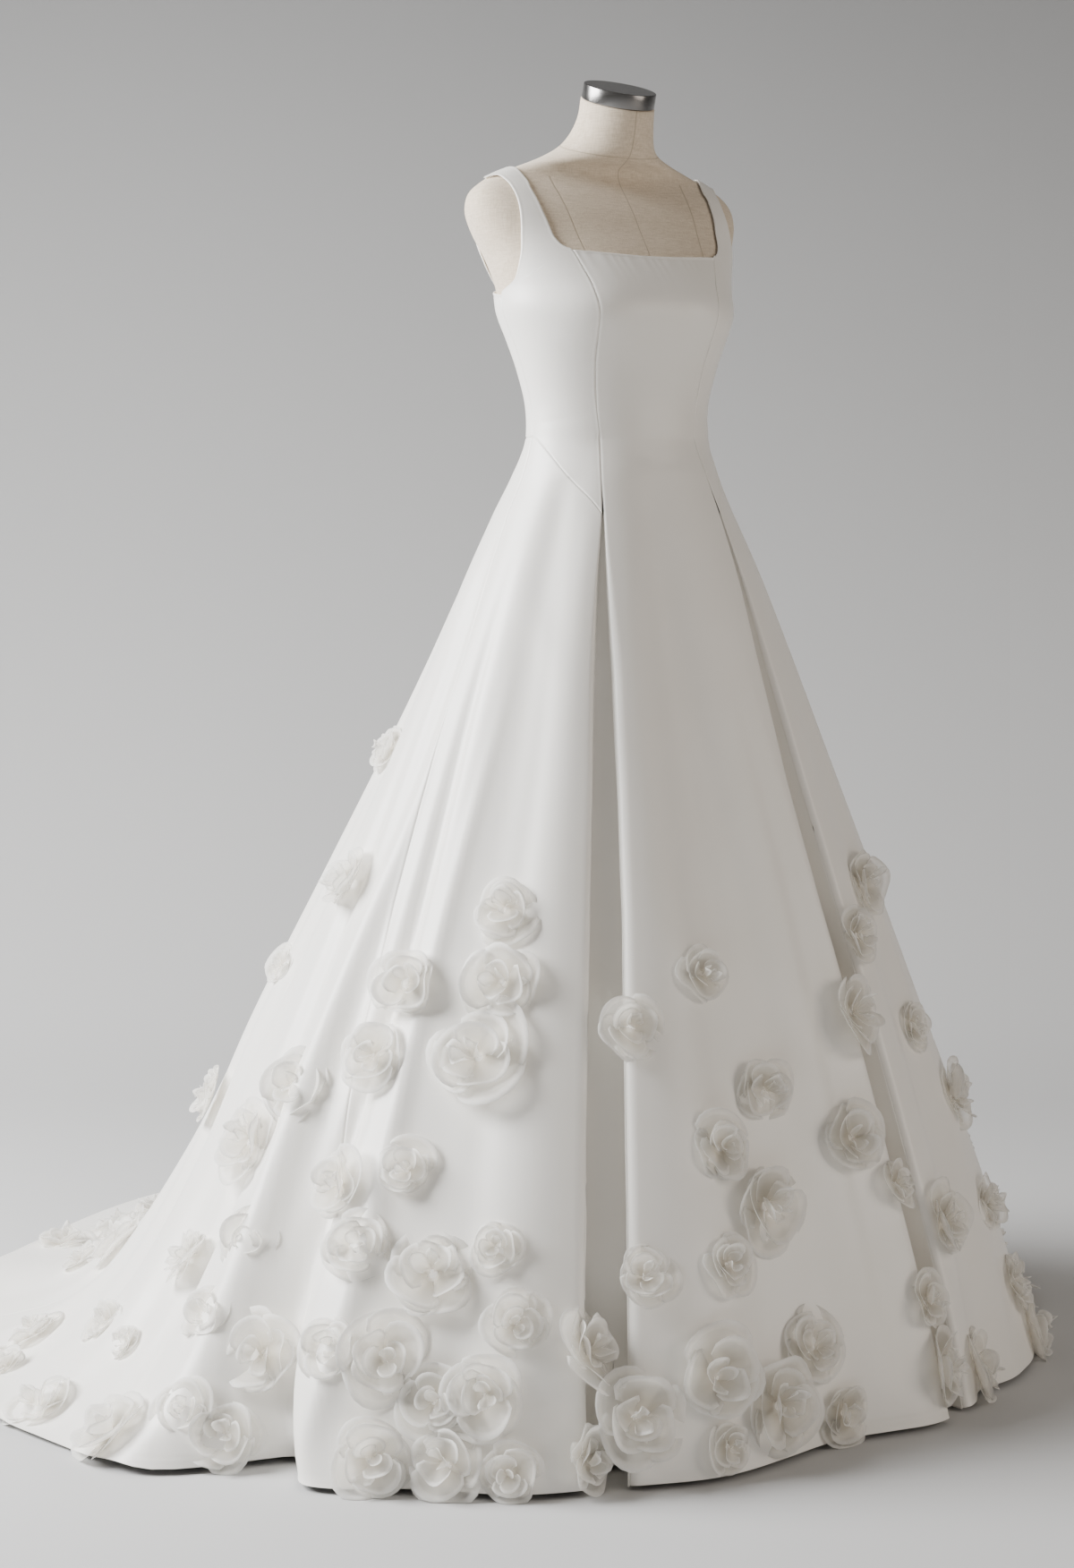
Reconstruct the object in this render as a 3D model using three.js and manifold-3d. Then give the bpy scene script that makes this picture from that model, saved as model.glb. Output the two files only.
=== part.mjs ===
// A wedding dress on a limbless dress form: a square necked, princess seamed bodice with tank
// straps, a flared skirt with an inverted pleat under each front seam, a train on the floor
// and organza rosettes. Millimetres, +Z up, the front faces -Y, the wearer's right is -X, and
// the origin is on the floor under the form's pole.
import * as THREE from 'three';
import { mergeVertices } from 'three/addons/utils/BufferGeometryUtils.js';
import Module from 'manifold-3d';

// Driving dimensions
const WAIST = 1295;            // height of the waist seam
const CLOTH = 2.3;             // thickness of the satin wall
const REST = 2.1;              // air between the form and the bodice
const SHOULDER_REST = 1.2;     // air between the form and the straps at the shoulder seam
const SEAM = 0.3;              // gap between two pieces at a seam
const BODICE_STEP = 45;        // height of one bodice row above the waist
const SKIRT_ROWS = 12;         // rows of the skirt table, from the waist to the hem
const NECKLINE = 1541;         // height of the square front neckline at its corners
const NECKLINE_DIP = 6;        // how much the neckline sags at the centre front
const BACK_NECKLINE = 1500;    // height of the back neckline
const BACK_SCOOP = 11;         // how much lower it is at the centre back
const STRAP_FOOT = 1562;       // height above which a strap is narrowed towards the shoulder
const BUST = { x: 88, z: 1460, spread: 46, depth: 7 };
const PLEAT_DEPTH = 80;        // depth of the inverted pleats at the hem
const PLEAT_TOP_DEPTH = 6;     // depth of the inverted pleats at the yoke
const FLOOR_CLEAR = 0.6;       // lowest point of what lies on the floor
const NECK_TILT = 19;          // forward slant of the neck's top and base, in degrees
const NECK_FROM = 1652;        // height where the sections start to slant
const NECK_TO = 1700;          // height where they have the whole slant
const POLE_RADIUS = 15;
const FORM_SIDES = 30;
const BASE = { radius: 190, height: 12, chamfer: 3 };
const NECK_CAP = { radius: 50.5, height: 21, lift: 0.4 };
const ROSETTE = {
  sides: 6,
  nodes: 36,                   // clusters and single flowers that stay pieces of their own
  height: 0.56,                // of the radius
  lowest: 17,
  highest: 30,
  lifts: [0.35, 0.7, 1.1, 1.5, 1.9, 2.3, 2.8, 3.3],
  sunk: 1.2,                   // how deep a raised one starts in its panel's wall
  shrink: 0.93,
  least: 0.6,                  // the smallest share of its radius that a rosette may keep
  smallest: 30,                // radii of the scattered ones
  largest: 52,
  apart: 0.85,                 // of two radii, the least distance between two scattered ones
  sinking: 0.75,               // power below 1 that puts more of them near the hem
  tries: 200,
};
// Concealed zip at the top of the centre back seam: only the slider's bridge and its pull tab
// lie outside the cloth
const ZIP = {
  height: 1474,                // of the slider on the seam
  width: 7,
  length: 10,
  thickness: 2.6,
  air: 0.4,                    // between the slider and the cloth
  post: 1.2,                   // width of each post that carries the bar
  postDepth: 2.6,
  bar: 0.8,                    // radius of the bar that the tab hangs on
  barOut: 5.8,                 // from the cloth to the middle of the bar
  barUp: 2.4,                  // from the middle of the slider to the bar
  bore: 1.35,                  // radius of the tab's eye
  eye: 2.25,                   // outer radius of the tab's eye
  tabWidth: 3.6,
  tabLength: 27,
  tabThickness: 1.2,
  drop: 3.4,                   // radius of the tab's round end
};
const RAD = Math.PI / 180;
const HALVINGS = 24;           // steps of a search by halving

// The form's sections: height, half width, depth to the front and back of the centre,
// the centre's y, and the power of the rounded oval
const TORSO = [
  { z: 1000, half: 152, front: 104, back: 116, y: 0, power: 2.1 },
  { z: 1080, half: 160, front: 106, back: 122, y: 0, power: 2.1 },
  { z: 1190, half: 148, front: 100, back: 106, y: 0, power: 2.1 },
  { z: 1240, half: 137, front: 94, back: 94, y: 0, power: 2.1 },
  { z: 1295, half: 131, front: 89, back: 86, y: 0, power: 2.1 },
  { z: 1340, half: 131, front: 91, back: 88, y: 2, power: 2.1 },
  { z: 1390, half: 143, front: 102, back: 96, y: 4, power: 2.1 },
  { z: 1430, half: 156, front: 117, back: 101, y: 8, power: 2.15 },
  { z: 1465, half: 168, front: 128, back: 105, y: 12, power: 2.2 },
  { z: 1500, half: 171, front: 124, back: 105, y: 18, power: 2.2 },
  { z: 1540, half: 182, front: 111, back: 106, y: 28, power: 2.3 },
  { z: 1570, half: 197, front: 97, back: 104, y: 36, power: 2.3 },
  { z: 1600, half: 206, front: 82, back: 97, y: 42, power: 2.4 },
  { z: 1625, half: 202, front: 64, back: 82, y: 45, power: 2.4 },
  { z: 1640, half: 188, front: 50, back: 66, y: 44, power: 2.2 },
  { z: 1652, half: 166, front: 42, back: 54, y: 42, power: 2 },
  { z: 1664, half: 134, front: 40, back: 48, y: 38, power: 2 },
  { z: 1676, half: 102, front: 46, back: 48, y: 32, power: 2 },
  { z: 1688, half: 76, front: 50, back: 50, y: 25, power: 2 },
  { z: 1702, half: 61, front: 53, back: 53, y: 18, power: 2 },
  { z: 1725, half: 53, front: 51, back: 51, y: 8, power: 2 },
  { z: 1752, half: 50.5, front: 50.5, back: 50.5, y: 2, power: 2 },
];

// The skirt's rows from the waist to the hem: the height at the front and in the train, then
// the distance from the axis at eleven azimuths, R for the wearer's right and L for the left
const AZIMUTHS = [-180, -147, -113, -75, -48, 0, 48, 75, 113, 147, 180];
const AZIMUTH_NAMES = [
  'back', 'farR', 'backR', 'sideR', 'frontR', 'front', 'frontL', 'sideL', 'backL', 'farL', 'back',
];
const SKIRT = [
  { z: 1240, train: 1240, back: 104, farR: 126, backR: 149, sideR: 147, frontR: 131, front: 106,
    frontL: 131, sideL: 147, backL: 149, farL: 126 },
  { z: 1190, train: 1190, back: 128, farR: 150, backR: 174, sideR: 170, frontR: 150, front: 121,
    frontL: 150, sideL: 168, backL: 172, farL: 150 },
  { z: 1100, train: 1100, back: 168, farR: 192, backR: 217, sideR: 213, frontR: 190, front: 150,
    frontL: 186, sideL: 208, backL: 214, farL: 190 },
  { z: 980, train: 980, back: 225, farR: 247, backR: 269, sideR: 264, frontR: 240, front: 190,
    frontL: 232, sideL: 255, backL: 262, farL: 243 },
  { z: 840, train: 840, back: 300, farR: 315, backR: 334, sideR: 325, frontR: 298, front: 240,
    frontL: 285, sideL: 308, backL: 320, farL: 308 },
  { z: 680, train: 680, back: 395, farR: 400, backR: 412, sideR: 398, frontR: 370, front: 303,
    frontL: 345, sideL: 370, backL: 390, farL: 390 },
  { z: 500, train: 495, back: 515, farR: 505, backR: 504, sideR: 485, frontR: 455, front: 372,
    frontL: 410, sideL: 440, backL: 470, farL: 490 },
  { z: 320, train: 300, back: 665, farR: 630, backR: 592, sideR: 580, frontR: 540, front: 440,
    frontL: 472, sideL: 512, backL: 560, farL: 610 },
  { z: 170, train: 125, back: 830, farR: 775, backR: 700, sideR: 668, frontR: 604, front: 489,
    frontL: 520, sideL: 572, backL: 655, farL: 750 },
  { z: 85, train: 42, back: 960, farR: 880, backR: 800, sideR: 725, frontR: 636, front: 514,
    frontL: 545, sideL: 606, backL: 735, farL: 865 },
  { z: 38, train: 12, back: 1105, farR: 985, backR: 880, sideR: 765, frontR: 650, front: 527,
    frontL: 558, sideL: 628, backL: 810, farL: 965 },
  { z: 8, train: 3.4, back: 1275, farR: 1085, backR: 945, sideR: 790, frontR: 660, front: 535,
    frontL: 566, sideL: 642, backL: 875, farL: 1060 },
];
const FLOOR_FADE = 60;         // height over which the folds turn upright as they near the floor
const FLOOR_ARC = 40;          // degrees over which the same happens round the train
const LYING_RISE = 1.1;        // share of a ridge that rises off the floor
const LYING_DIP = 0.12;        // share of a trough that does
const TRAIN_FROM = 62;         // azimuth where the hem starts to come down to the floor
const TRAIN_TO = 115;          // azimuth where it lies in the train

// Soft folds of the skirt: azimuth at the waist and at the hem, half width in degrees, height
// of the ridge (or depth of the trough, below zero) at the hem, the row where it starts, and
// the power with which it grows on its way down
const FOLDS = [
  { name: 'centre trough', top: -10, hem: 3, width: 11, rise: -30, from: 1, power: 1.2 },
  { name: 'centre ridge', top: -24, hem: -19, width: 7, rise: 10, from: 2, power: 0.8 },
  { name: 'left pleat ridge', top: 40, hem: 20, width: 6, rise: 8, from: 3, power: 0.7 },
  { name: 'right front trough', top: -62, hem: -53, width: 7, rise: -16, from: 1, power: 0.5 },
  { name: 'right front ridge', top: -46, hem: -41, width: 6, rise: 8, from: 2, power: 0.6 },
  { name: 'right side trough', top: -92, hem: -70, width: 4.6, rise: -22, from: 2, power: 0.7 },
  { name: 'right side recess', top: -92, hem: -70, width: 5, rise: -105, from: 7, power: 1.8 },
  { name: 'right side ridge', top: -101, hem: -79, width: 6, rise: 12, from: 2, power: 0.7 },
  { name: 'right train trough', top: -118, hem: -93, width: 6, rise: -26, from: 2, power: 0.9 },
  { name: 'right train ridge', top: -130, hem: -105, width: 7, rise: 16, from: 3, power: 0.9 },
  { name: 'right far trough', top: -150, hem: -125, width: 7, rise: -30, from: 2, power: 0.9 },
  { name: 'right far ridge', top: -162, hem: -143, width: 7, rise: 14, from: 3, power: 0.9 },
  { name: 'centre back trough', top: 180, hem: 180, width: 8, rise: -22, from: 2, power: 0.8 },
  { name: 'left far trough', top: 152, hem: 133, width: 7, rise: -34, from: 2, power: 0.9 },
  { name: 'left far ridge', top: 136, hem: 116, width: 7, rise: 14, from: 3, power: 0.9 },
  { name: 'left train trough', top: 122, hem: 98, width: 6, rise: -28, from: 2, power: 0.9 },
  { name: 'left side ridge', top: 104, hem: 84, width: 6, rise: 12, from: 2, power: 0.7 },
  { name: 'left side trough', top: 92, hem: 70, width: 5, rise: -48, from: 3, power: 1 },
  { name: 'left front ridge', top: 72, hem: 55, width: 7, rise: 10, from: 2, power: 0.7 },
  { name: 'left front trough', top: 58, hem: 38, width: 4.5, rise: -22, from: 4, power: 1 },
];

// Azimuths of the skirt's long edges at a few rows: the two folds of each pleat, the side
// seams and the back princess seams
const EDGES = [
  { row: 0, centreR: -44, sideFoldR: -44, sideR: -91, backR: -142, centreL: 44, sideFoldL: 44, sideL: 91,
    backL: 142 },
  { row: 1, centreR: -41, sideFoldR: -41, sideR: -91, backR: -141, centreL: 44, sideFoldL: 44, sideL: 91,
    backL: 141 },
  { row: 2, centreR: -38.3, sideFoldR: -39.2, sideR: -90, backR: -140, centreL: 43.4, sideFoldL: 44.4,
    sideL: 90, backL: 140 },
  { row: 3, centreR: -35, sideFoldR: -39.2, sideR: -87, backR: -139, centreL: 40, sideFoldL: 43, sideL: 88,
    backL: 139 },
  { row: 4, centreR: -32, sideFoldR: -38.2, sideR: -84, backR: -138, centreL: 34.5, sideFoldL: 39.5,
    sideL: 86, backL: 138 },
  { row: 5, centreR: -30.3, sideFoldR: -37, sideR: -81, backR: -136, centreL: 30, sideFoldL: 36, sideL: 83,
    backL: 136 },
  { row: 6, centreR: -29.3, sideFoldR: -36.2, sideR: -79, backR: -134, centreL: 27, sideFoldL: 33.5,
    sideL: 80, backL: 134 },
  { row: 8, centreR: -29, sideFoldR: -35, sideR: -72, backR: -131, centreL: 24, sideFoldL: 30.5, sideL: 74,
    backL: 131 },
  { row: 10, centreR: -29, sideFoldR: -34.2, sideR: -67, backR: -129, centreL: 24, sideFoldL: 29.5,
    sideL: 69, backL: 129 },
  { row: 12, centreR: -29, sideFoldR: -34, sideR: -65, backR: -128, centreL: 24, sideFoldL: 29, sideL: 67,
    backL: 128 },
];

// Where the front princess seam lies from the centre front, by height
const PRINCESS = [
  { z: 1295, x: 75 },
  { z: 1350, x: 79 },
  { z: 1395, x: 85 },
  { z: 1460, x: 92 },
  { z: 1500, x: 98 },
  { z: 1541, x: 111 },
];
// The back princess seam, by height
const BACK_PRINCESS = [
  { z: 1295, x: 82 },
  { z: 1350, x: 86 },
  { z: 1420, x: 98 },
  { z: 1470, x: 118 },
  { z: 1500, x: 139 },
];
// The inner and outer edges of the straps, by the share of the way from the neckline row to
// the shoulder seam
const STRAP = [
  { way: 0, inner: 130, outer: 166 },
  { way: 0.3, inner: 138, outer: 164 },
  { way: 0.6, inner: 141, outer: 166 },
  { way: 0.85, inner: 145, outer: 174 },
  { way: 1, inner: 148, outer: 184 },
];

// Rows between the bodice and the straps, which draw the armhole and the neckline's corner
const FRONT_CORNER = [
  { outerX: 168, outerZ: 1505, innerX: 118, innerZ: 1545 },
  { outerX: 167, outerZ: 1522, innerX: 123, innerZ: 1549 },
  { outerX: 166, outerZ: 1541, innerX: 127, innerZ: 1555 },
];
const BACK_CORNER = [
  { outerX: 145, outerZ: 1507, innerX: 34, innerZ: 1490 },
  { outerX: 151, outerZ: 1515, innerX: 68, innerZ: 1493 },
  { outerX: 156, outerZ: 1524, innerX: 97, innerZ: 1500 },
  { outerX: 161, outerZ: 1534, innerX: 117, innerZ: 1513 },
  { outerX: 164, outerZ: 1546, innerX: 127, innerZ: 1532 },
];

// Rows of the bodice pieces: heights at the princess seam and at the side seam
const PRINCESS_ROWS = [1350, 1395, 1430, 1460, 1490, 1516, 1541];
const SHOULDER_ROWS = [1318, 1555, 1585, 1613, 1633, 1646, 1658];
const SIDE_ROWS = [1295, 1315, 1338, 1362, 1388, 1412, 1436, 1458, 1474, 1487];
// Rows of the back bodice pieces at the back princess seam
const UNDERARM = SIDE_ROWS[SIDE_ROWS.length - 1];
const BACK_STRETCH = (BACK_NECKLINE - WAIST) / (UNDERARM - WAIST);
const BACK_ROWS = SIDE_ROWS.map((z) => WAIST + (z - WAIST) * BACK_STRETCH);
// Rows of the skirt pieces at the pleat folds and at the seams behind them
const FOLD_ROWS = [2, 3, 4, 5, 6, 7, 8, 9, 9.75, 10.5, 11.25, 12];
const SEAM_ROWS = [0, 1.2, 2.4, 3.6, 4.8, 6, 7.2, 8.4, 9.4, 10.4, 11.2, 12];

// Organza rosettes sewn to a panel: shares of the way across it and down it, the radius, and
// how far the flower leans round the vertical, in degrees
const ROSETTES = [
  { on: 'side_front_skirt_right', across: 0.19, down: 0.482, radius: 46, lean: 0 },
  { on: 'side_front_skirt_right', across: 0.1, down: 0.527, radius: 42, lean: 0 },
  { on: 'side_front_skirt_right', across: 0.59, down: 0.404, radius: 42, lean: 0 },
  { on: 'side_front_skirt_right', across: 0.62, down: 0.443, radius: 48, lean: 0 },
  { on: 'side_front_skirt_right', across: 0.55, down: 0.49, radius: 62, lean: 0 },
  { on: 'side_front_skirt_right', across: 0.32, down: 0.569, radius: 36, lean: 0 },
  { on: 'side_front_skirt_right', across: 0.07, down: 0.594, radius: 44, lean: 0 },
  { on: 'side_front_skirt_right', across: 0.19, down: 0.62, radius: 46, lean: 0 },
  { on: 'side_front_skirt_right', across: 0.46, down: 0.619, radius: 54, lean: 0 },
  { on: 'side_front_skirt_right', across: 0.69, down: 0.588, radius: 36, lean: 0 },
  { on: 'side_front_skirt_right', across: 0.77, down: 0.628, radius: 38, lean: 0 },
  { on: 'side_front_skirt_right', across: 0.32, down: 0.697, radius: 51, lean: 0 },
  { on: 'side_front_skirt_right', across: 0.48, down: 0.739, radius: 40, lean: 0 },
  { on: 'side_front_skirt_right', across: 0.65, down: 0.72, radius: 52, lean: 0 },
  { on: 'side_front_skirt_right', across: 0.28, down: 0.89, radius: 44, lean: 0 },
  { on: 'side_front_skirt_right', across: 0.52, down: 0.885, radius: 46, lean: 0 },
  { on: 'side_front_skirt_right', across: 0.74, down: 0.9, radius: 36, lean: 0 },
  { on: 'side_front_skirt_right', across: 0.985, down: 0.86, radius: 42, lean: 48 },
  { on: 'side_front_skirt_right', across: 0.99, down: 0.64, radius: 48, lean: 52 },
  { on: 'side_front_skirt_right', across: 0.14, down: 0.702, radius: 38, lean: 0 },
  { on: 'centre_front', across: 0.03, down: 0.69, radius: 42, lean: 0 },
  { on: 'centre_front', across: 0.1, down: 0.775, radius: 37, lean: 0 },
  { on: 'centre_front', across: 0.04, down: 0.865, radius: 54, lean: 0 },
  { on: 'centre_front', across: 0.34, down: 0.673, radius: 35, lean: 0 },
  { on: 'centre_front', across: 0.51, down: 0.715, radius: 41, lean: 0 },
  { on: 'centre_front', across: 0.33, down: 0.732, radius: 42, lean: 0 },
  { on: 'centre_front', across: 0.46, down: 0.755, radius: 54, lean: 0 },
  { on: 'centre_front', across: 0.32, down: 0.774, radius: 36, lean: 0 },
  { on: 'centre_front', across: 0.79, down: 0.735, radius: 48, lean: 0 },
  { on: 'centre_front', across: 0.27, down: 0.832, radius: 56, lean: 0 },
  { on: 'centre_front', across: 0.54, down: 0.829, radius: 43, lean: 0 },
  { on: 'centre_front', across: 0.28, down: 0.93, radius: 32, lean: 0 },
  { on: 'centre_front', across: 0.42, down: 0.886, radius: 54, lean: 0 },
  { on: 'centre_front', across: 0.61, down: 0.93, radius: 40, lean: 0 },
  { on: 'centre_front', across: 0.965, down: 0.692, radius: 50, lean: 16 },
  { on: 'centre_front', across: 0.965, down: 0.754, radius: 30, lean: 16 },
  { on: 'centre_front', across: 0.965, down: 0.808, radius: 36, lean: 16 },
  { on: 'centre_front', across: 0.965, down: 0.885, radius: 48, lean: 16 },
  { on: 'side_front_skirt_left', across: 0.35, down: 0.398, radius: 44, lean: 0 },
  { on: 'side_front_skirt_left', across: 0.06, down: 0.4, radius: 36, lean: 0 },
  { on: 'side_front_skirt_left', across: 0.41, down: 0.496, radius: 34, lean: 0 },
  { on: 'side_front_skirt_left', across: 0.63, down: 0.56, radius: 48, lean: 0 },
  { on: 'side_front_skirt_left', across: 0.12, down: 0.6, radius: 46, lean: 0 },
  { on: 'side_front_skirt_left', across: 0.16, down: 0.86, radius: 46, lean: 0 },
  { on: 'side_front_skirt_left', across: 0.6, down: 0.632, radius: 38, lean: 0 },
  { on: 'side_front_skirt_left', across: 0.66, down: 0.74, radius: 38, lean: 0 },
  { on: 'side_front_skirt_left', across: 0.81, down: 0.9, radius: 48, lean: 0 },
  { on: 'side_back_skirt_right', across: 0.43, down: 0.366, radius: 31, lean: 0 },
  { on: 'side_back_skirt_right', across: 0.74, down: 0.446, radius: 43, lean: 0 },
  { on: 'side_back_skirt_right', across: 0.39, down: 0.501, radius: 30, lean: 0 },
  { on: 'side_back_skirt_right', across: 0.28, down: 0.576, radius: 38, lean: 0 },
  { on: 'side_back_skirt_right', across: 0.72, down: 0.585, radius: 52, lean: 0 },
  { on: 'side_back_skirt_right', across: 0.84, down: 0.555, radius: 46, lean: 0 },
  { on: 'side_back_skirt_right', across: 0.61, down: 0.655, radius: 38, lean: 0 },
  { on: 'side_back_skirt_right', across: 0.84, down: 0.63, radius: 40, lean: 0 },
  { on: 'side_back_skirt_right', across: 0.8, down: 0.69, radius: 38, lean: 0 },
  { on: 'side_back_skirt_right', across: 0.43, down: 0.722, radius: 35, lean: 0 },
  { on: 'side_back_skirt_right', across: 0.54, down: 0.735, radius: 26, lean: 0 },
  { on: 'side_back_skirt_right', across: 0.2, down: 0.8, radius: 38, lean: 0 },
  { on: 'side_back_skirt_right', across: 0.92, down: 0.72, radius: 48, lean: 0 },
  { on: 'side_back_skirt_right', across: 0.51, down: 0.887, radius: 46, lean: 0 },
  { on: 'side_back_skirt_right', across: 0.71, down: 0.884, radius: 50, lean: 0 },
  { on: 'side_back_skirt_right', across: 0.82, down: 0.798, radius: 37, lean: 0 },
  { on: 'side_back_skirt_right', across: 0.87, down: 0.89, radius: 46, lean: 0 },
  { on: 'side_back_skirt_right', across: 0.32, down: 0.87, radius: 32, lean: 0 },
  { on: 'centre_back_skirt_right', across: 0.52, down: 0.94, radius: 42, lean: 0 },
  { on: 'centre_back_skirt_right', across: 0.26, down: 0.93, radius: 36, lean: 0 },
];

// Sides that the table leaves free carry like rosettes, spread by a seeded rule
const SCATTER = [
  { on: 'side_back_skirt_left', count: 15, from: 0.42, to: 0.92, low: 0.06, high: 0.94 },
  { on: 'centre_back_skirt_left', count: 10, from: 0.5, to: 0.94, low: 0.06, high: 0.9 },
  { on: 'centre_back_skirt_right', count: 8, from: 0.5, to: 0.94, low: 0.1, high: 0.94 },
];

const STRAP_WAYS = [0, 0.15, 0.32, 0.5, 0.68, 0.84, 1];
const SIDE_SEAM = 91;          // azimuth of the side seam above the waist
const TORSO_REACH = { side: 158, princess: 120, back: 85 };
const SEAM_DIP = 1.2;          // power with which the rows of the side front drop towards the yoke
const YOKE_FADE = 3;           // the rows of the side front skirt are level from a third of its length

const COLOURS = {
  satin: { color: 0xeeeeea, roughness: 0.42, metalness: 0 },
  shade: { color: 0xd9d5cc, roughness: 0.5, metalness: 0 },
  organza: { color: 0xf1efe8, roughness: 0.6, metalness: 0 },
  linen: { color: 0xcfc2b1, roughness: 0.9, metalness: 0 },
  steel: { color: 0x9a9a9c, roughness: 0.3, metalness: 1 },
  zipMetal: { color: 0xd6d5d2, roughness: 0.35, metalness: 0.8 },
  paint: { color: 0xd8d8d6, roughness: 0.5, metalness: 0.2 },
};

const wasm = await Module();
wasm.setup();
const group = new THREE.Group();

// The azimuth that an arc takes up at a distance from the axis
const turnFor = (arc, reach) => arc / reach / RAD;

// Mixes and curves through table rows
const mix = (a, b, t) => a + (b - a) * t;
const smooth = (t) => t * t * (3 - 2 * t);
const clamp = (t, low = 0, high = 1) => Math.min(Math.max(t, low), high);

function curve(stations, values, at) {
  const last = stations.length - 1;
  let i = 0;
  while (i < last - 1 && stations[i + 1] <= at) i += 1;
  const span = stations[i + 1] - stations[i];
  const t = (at - stations[i]) / span;
  const slope = (j) => {
    const a = Math.max(j - 1, 0);
    const b = Math.min(j + 1, last);
    return (values[b] - values[a]) / (stations[b] - stations[a]);
  };
  const m0 = slope(i) * span;
  const m1 = slope(i + 1) * span;
  return (2 * t ** 3 - 3 * t ** 2 + 1) * values[i] + (t ** 3 - 2 * t ** 2 + t) * m0
    + (3 * t ** 2 - 2 * t ** 3) * values[i + 1] + (t ** 3 - t ** 2) * m1;
}

function column(table, key, name, at) {
  return curve(table.map((row) => row[key]), table.map((row) => row[name]), at);
}

function straight(table, key, name, at) {
  const last = table.length - 1;
  let i = 0;
  while (i < last - 1 && table[i + 1][key] <= at) i += 1;
  const t = clamp((at - table[i][key]) / (table[i + 1][key] - table[i][key]));
  return mix(table[i][name], table[i + 1][name], t);
}

// The form's surface at an azimuth and a height
function formPoint(azimuth, z, outward = 0) {
  const half = column(TORSO, 'z', 'half', z);
  const front = column(TORSO, 'z', 'front', z);
  const back = column(TORSO, 'z', 'back', z);
  const y = column(TORSO, 'z', 'y', z);
  const power = column(TORSO, 'z', 'power', z);
  const s = Math.sin(azimuth * RAD);
  const c = Math.cos(azimuth * RAD);
  const depth = c > 0 ? front : back;
  const tilt = Math.tan(NECK_TILT * RAD) * smooth(clamp((z - NECK_FROM) / (NECK_TO - NECK_FROM)));
  let reach = (Math.abs(s / half) ** power + Math.abs(c / depth) ** power) ** (-1 / power) + outward;
  if (c > 0) {
    const away = (Math.abs(reach * s) - BUST.x) ** 2 + (z - BUST.z) ** 2;
    reach += BUST.depth * Math.exp(-away / BUST.spread ** 2);
  }
  return new THREE.Vector3(reach * s, y - reach * c, z - reach * c * tilt);
}

// The azimuth at which the form's section at a height has a given x, in front or behind
function azimuthAtX(x, z, behind = false) {
  const side = Math.sign(x);
  let low = 0;
  let high = 90;
  for (let i = 0; i < HALVINGS; i += 1) {
    const middle = (low + high) / 2;
    const azimuth = behind ? 180 - middle : middle;
    if (formPoint(azimuth, z).x < Math.abs(x)) low = middle;
    else high = middle;
  }
  return side * (behind ? 180 - low : low);
}

// The height of the shoulder line at a distance from the centre
function shoulderHeight(x) {
  let low = 1625;
  let high = 1700;
  for (let i = 0; i < HALVINGS; i += 1) {
    const middle = (low + high) / 2;
    if (column(TORSO, 'z', 'half', middle) > x) low = middle;
    else high = middle;
  }
  return low;
}

// One whole row of the dress: rows of zero and less belong to the bodice
function rowPoint(row, azimuth) {
  if (row <= 0) return formPoint(azimuth, WAIST - BODICE_STEP * row, CLOTH + REST);
  const entry = SKIRT[Math.min(row, SKIRT_ROWS) - 1];
  const turned = ((azimuth + 540) % 360) - 180;
  const stations = [AZIMUTHS[9] - 360, ...AZIMUTHS, AZIMUTHS[1] + 360];
  const radii = AZIMUTH_NAMES.map((name) => entry[name]);
  const reach = curve(stations, [radii[9], ...radii, radii[1]], turned);
  const train = smooth(clamp((Math.abs(turned) - TRAIN_FROM) / (TRAIN_TO - TRAIN_FROM)));
  const z = mix(entry.z, entry.train, train);
  return new THREE.Vector3(reach * Math.sin(azimuth * RAD), -reach * Math.cos(azimuth * RAD), z);
}

function foldRise(azimuth, row) {
  let rise = 0;
  const turned = ((azimuth + 540) % 360) - 180;
  for (const fold of FOLDS) {
    if (row <= fold.from) continue;
    const way = (row - fold.from) / (SKIRT_ROWS - fold.from);
    const centre = mix(fold.top, fold.hem, smooth(clamp(row / SKIRT_ROWS)));
    let away = Math.abs(turned - centre);
    away = Math.min(away, 360 - away);
    rise += fold.rise * way ** fold.power * Math.exp(-((away / fold.width) ** 2));
  }
  return rise;
}

// The outside of the dress at an azimuth and a row that may lie between two table rows
function dressPoint(azimuth, row) {
  const i = Math.min(Math.floor(row), SKIRT_ROWS - 1);
  const t = row - i;
  const [p0, p1, p2, p3] = [i - 1, i, i + 1, i + 2].map((k) => rowPoint(k, azimuth));
  if (i + 2 > SKIRT_ROWS) p3.copy(p2).multiplyScalar(2).sub(p1);
  const m0 = p2.clone().sub(p0).multiplyScalar(0.5);
  const m1 = p3.sub(p1).multiplyScalar(0.5);
  const point = p1.clone().multiplyScalar(2 * t ** 3 - 3 * t ** 2 + 1);
  point.addScaledVector(m0, t ** 3 - 2 * t ** 2 + t);
  point.addScaledVector(p2, 3 * t ** 2 - 2 * t ** 3);
  point.addScaledVector(m1, t ** 3 - t ** 2);
  const flat = Math.hypot(point.x, point.y);
  const rise = foldRise(azimuth, row);
  const round = smooth(clamp((Math.abs(azimuth) - TRAIN_FROM) / FLOOR_ARC));
  const floor = Math.exp(-point.z / FLOOR_FADE) * round;
  point.x *= 1 + (rise * (1 - floor)) / flat;
  point.y *= 1 + (rise * (1 - floor)) / flat;
  point.z += Math.max(rise, 0) * floor * LYING_RISE + Math.max(-rise, 0) * floor * LYING_DIP;
  return point;
}

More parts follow.
